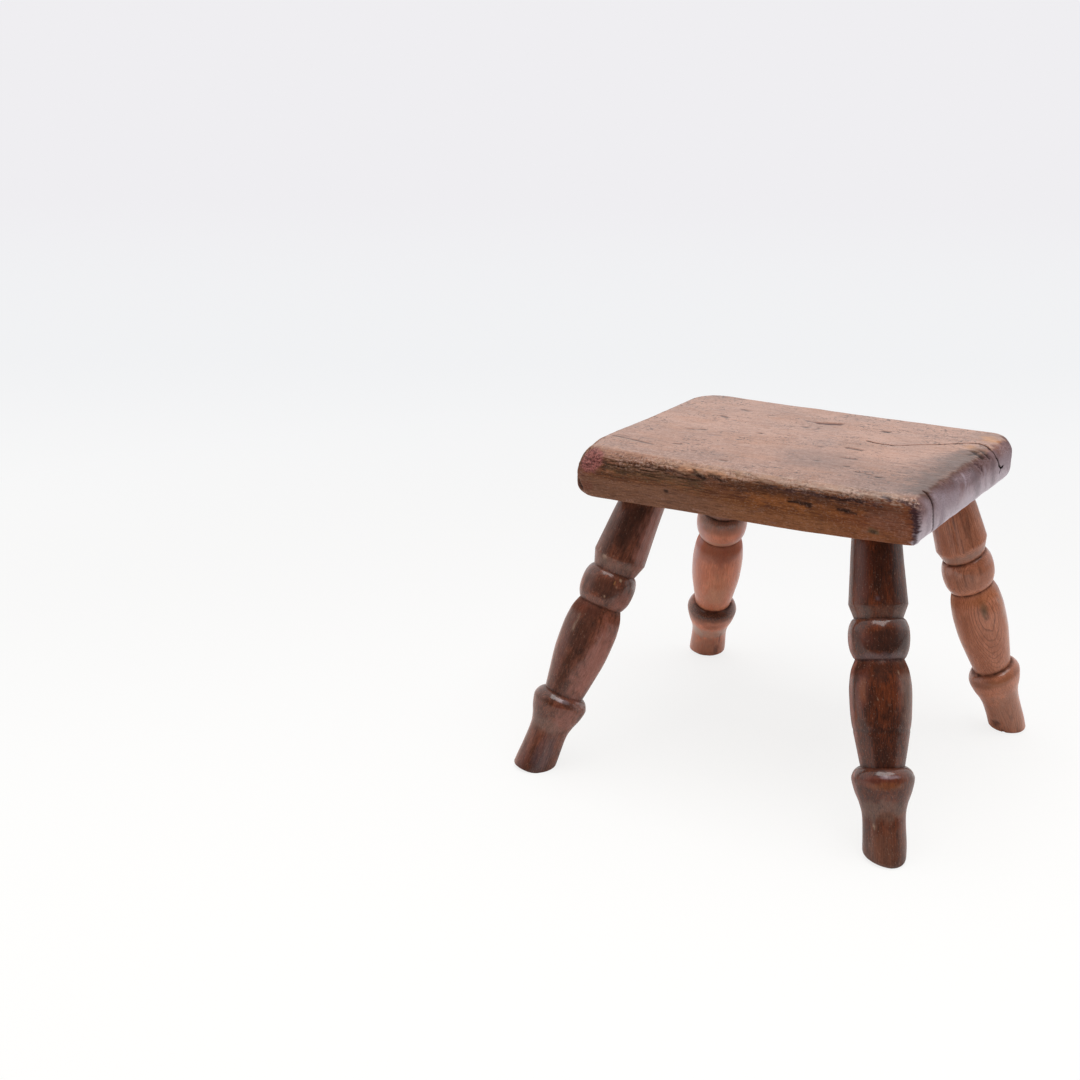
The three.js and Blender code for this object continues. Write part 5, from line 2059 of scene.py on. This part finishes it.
BACK_RIGHT_MARKS: tuple[Mark, ...] = (
    # darker hidden back of the leg, against the painted light lifted into its stain colours
    Mark(Paint.CLAY, 120.0, 122.5, 400.0, 28.0, 0.6, 0.0, 0.1),
    # painted pale and lilac sheen down the right rim
    Mark(Paint.BONE, 130.0, 22.0, 50.0, 12.0, 0.6),
    Mark(Paint.LILAC_SHEEN, 128.0, 24.0, 50.0, 8.0, 0.4),
    Mark(Paint.LILAC_SHEEN, 36.0, 26.0, 34.0, 6.0, 0.35),
    Mark(Paint.LILAC_SHEEN, 86.0, 26.0, 12.0, 8.0, 0.45),
    # painted sheen down the left rim
    Mark(Paint.STRAW, 130.0, -140.0, 45.0, 5.0, 0.3),
    Mark(Paint.UMBER, 190.0, -70.0, 4.5, 34.0, 0.35),
    Mark(Paint.UMBER, 86.0, -60.0, 12.0, 24.0, 0.2),
    Mark(Paint.UMBER, 36.0, -70.0, 30.0, 22.0, 0.2),
    # painted grey sheen down the left rim of the cone
    Mark(Paint.SLATE, 36.0, -128.0, 30.0, 6.0, 0.35),
    Mark(Paint.DUST, 66.0, -70.0, 4.0, 30.0, 0.5),
    Mark(Paint.DUST, 225.0, -50.0, 24.0, 24.0, 0.4),
    Mark(Paint.UMBER, 30.0, -72.0, 20.0, 0.7, 0.6),
    Mark(Paint.UMBER, 28.0, -52.0, 22.0, 0.9, 0.6),
    Mark(Paint.UMBER, 36.0, -40.0, 18.0, 0.8, 0.55),
    Mark(Paint.UMBER, 44.0, -46.0, 12.0, 1.2, 0.4),
    Mark(Paint.UMBER, 38.0, -88.0, 18.0, 0.6, 0.5),
    Mark(Paint.UMBER, 85.0, -78.0, 9.0, 0.7, 0.6),
    Mark(Paint.UMBER, 90.0, -96.0, 9.0, 0.6, 0.5),
    Mark(Paint.UMBER, 86.0, -62.0, 5.0, 1.2, 0.5),
    Mark(Paint.UMBER, 82.0, -40.0, 4.0, 1.5, 0.4),
    Mark(Paint.OLIVE, 117.5, -54.0, 9.0, 3.6, 0.75),
    Mark(Paint.UMBER, 86.0, -92.0, 12.0, 20.0, 0.15),
    Mark(Paint.SOOT, 117.5, -54.0, 2.0, 0.7, 0.5),
    Mark(Paint.EMBER, 108.0, -50.0, 5.0, 16.0, 0.25),
    Mark(Paint.EMBER, 190.0, -70.0, 3.5, 12.0, 0.3),
    Mark(Paint.STRAW, 182.5, -101.0, 0.9, 0.9, 0.9),
    Mark(Paint.SOOT, 239.0, -100.0, 3.5, 4.5, 0.75, 0.9, 0.6),
    Mark(Paint.SOOT, 247.0, -84.0, 3.5, 1.2, 0.6, 0.6, 0.4),
)


def build_legs() -> list[TurnedLeg]:
    """The four legs, each with its own stain, girth and knocks.

    Returns:
        The legs, from the front left to the back right.
    """
    front_left = TurnedLeg(
        Side.FRONT_LEFT,
        socket_x=-101.5,
        socket_y=-74.0,
        foot_x=-156.5,
        foot_y=-159.0,
        girth=0.985,
        seed=1.0,
        sole_rounding=1.2,
        sole_lift=3.2,
        lower_groove=102.8,
        shift=(-0.3, -0.8),
        finish=LegFinish(
            "leg_finish_front_left",
            dark=(0.075, 0.021, 0.009),
            light=(0.27, 0.080, 0.042),
            ring=(0.030, 0.010, 0.006),
            ring_strength=0.12,
            ring_bearing=150.0,
            pore=0.4,
        ),
        marks=FRONT_LEFT_MARKS,
    )
    front_right = TurnedLeg(
        Side.FRONT_RIGHT,
        socket_x=95.0,
        socket_y=-75.5,
        foot_x=147.0,
        foot_y=-146.5,
        seed=2.0,
        shift=(-0.3, -0.2),
        upper_groove=70.9,
        lower_groove=101.8,
        vase_station=128.5,
        ankle_station=181.6,
        collar_station=191.2,
        sole_lift=2.0,
        sole_rounding=3.2,
        ankle_radius=16.4,
        neck_radius=16.0,
        foot_radius=16.5,
        scribed_station=154.0,
        finish=LegFinish(
            "leg_finish_front_right",
            dark=(0.060, 0.0135, 0.005),
            light=(0.20, 0.042, 0.011),
            ring=(0.024, 0.008, 0.005),
            ring_strength=0.12,
            ring_bearing=100.0,
            polish=Polish(specular=0.16, coat_roughness=0.15, sheen=0.12, sheen_tint=(0.95, 0.45, 0.33)),
        ),
        flats=(
            Spot(112.0, -22.0, 24.0, 16.0, 0.6),
            Spot(150.0, -28.0, 30.0, 14.0, 0.4),
            Spot(251.0, 12.0, 9.0, 30.0, 1.4),
        ),
        marks=FRONT_RIGHT_MARKS,
    )
    back_left = TurnedLeg(
        Side.BACK_LEFT,
        socket_x=-100.5,
        socket_y=79.5,
        foot_x=-152.0,
        foot_y=156.5,
        girth=1.025,
        ankle_station=180.6,
        collar_station=190.2,
        bead_rise=7.0,
        seed=3.0,
        groove_dirt=0.7,
        finish=LegFinish(
            "leg_finish_back_left",
            # stain colours lifted as painted light, for the front that stands in the seat's shade
            dark=(0.59, 0.172, 0.084),
            light=(0.82, 0.287, 0.148),
            ring=(0.18, 0.055, 0.028),
            ring_strength=0.12,
            ring_bearing=-60.0,
            pore=0.12,
        ),
        flats=(Spot(249.0, -125.0, 6.0, 30.0, 0.9), Spot(250.0, 5.0, 6.0, 32.0, 0.9)),
        marks=BACK_LEFT_MARKS,
    )
    back_right = TurnedLeg(
        Side.BACK_RIGHT,
        socket_x=96.5,
        socket_y=79.5,
        foot_x=155.5,
        foot_y=139.0,
        girth=0.965,
        cone_station=59.5,
        upper_groove=71.5,
        lower_groove=101.7,
        ankle_station=183.0,
        collar_station=192.5,
        sole_rounding=2.8,
        foot_radius=16.7,
        ring_tilt=0.11,
        seed=4.0,
        groove_dirt=0.8,
        shift=(1.7, -0.1),
        finish=LegFinish(
            "leg_finish_back_right",
            # stain colours lifted as painted light, for the front that stands in the seat's shade
            dark=(0.43, 0.142, 0.069),
            light=(0.63, 0.235, 0.127),
            ring=(0.12, 0.038, 0.018),
            ring_strength=0.52,
            ring_phase=0.15,
            ring_width=1.2,
            pore=0.3,
            ring_bearing=-50.0,
            ring_lean=0.065,
        ),
        flats=(
            Spot(241.0, -98.0, 5.0, 18.0, 1.6),
            Spot(243.0, -140.0, 16.0, 34.0, 1.0),
            Spot(249.0, 14.0, 9.0, 34.0, 1.1),
        ),
        plain_patches=(
            Spot(88.0, -50.0, 13.0, 26.0, 1.6),
            Spot(200.0, -50.0, 22.0, 50.0, 1.4),
            Spot(30.0, -80.0, 30.0, 14.0, 0.6),
            Spot(106.0, -46.0, 5.0, 34.0, 1.2),
        ),
        marks=BACK_RIGHT_MARKS,
    )
    return [front_left, front_right, back_left, back_right]


def dress_wedges() -> None:
    """Give the hidden wedges, which keep their CAD shape, a finish."""
    material = SplitWood().material()
    for name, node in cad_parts.items():
        if name.startswith("fox_wedge"):
            node.data.materials.clear()
            node.data.materials.append(material)
            log.info("%s dressed", name)


def main() -> None:
    """Build the stool and its studio."""
    logging.basicConfig(level=logging.INFO, format="%(name)s: %(message)s")
    seat = PlankSeat()
    legs = build_legs()
    for leg in legs:
        leg.place(seat.underside(leg.socket_x))
    seat.build([leg.socket() for leg in legs])
    for leg in legs:
        leg.build()
    dress_wedges()
    Studio().build()


if __name__ == "__main__":
    main()
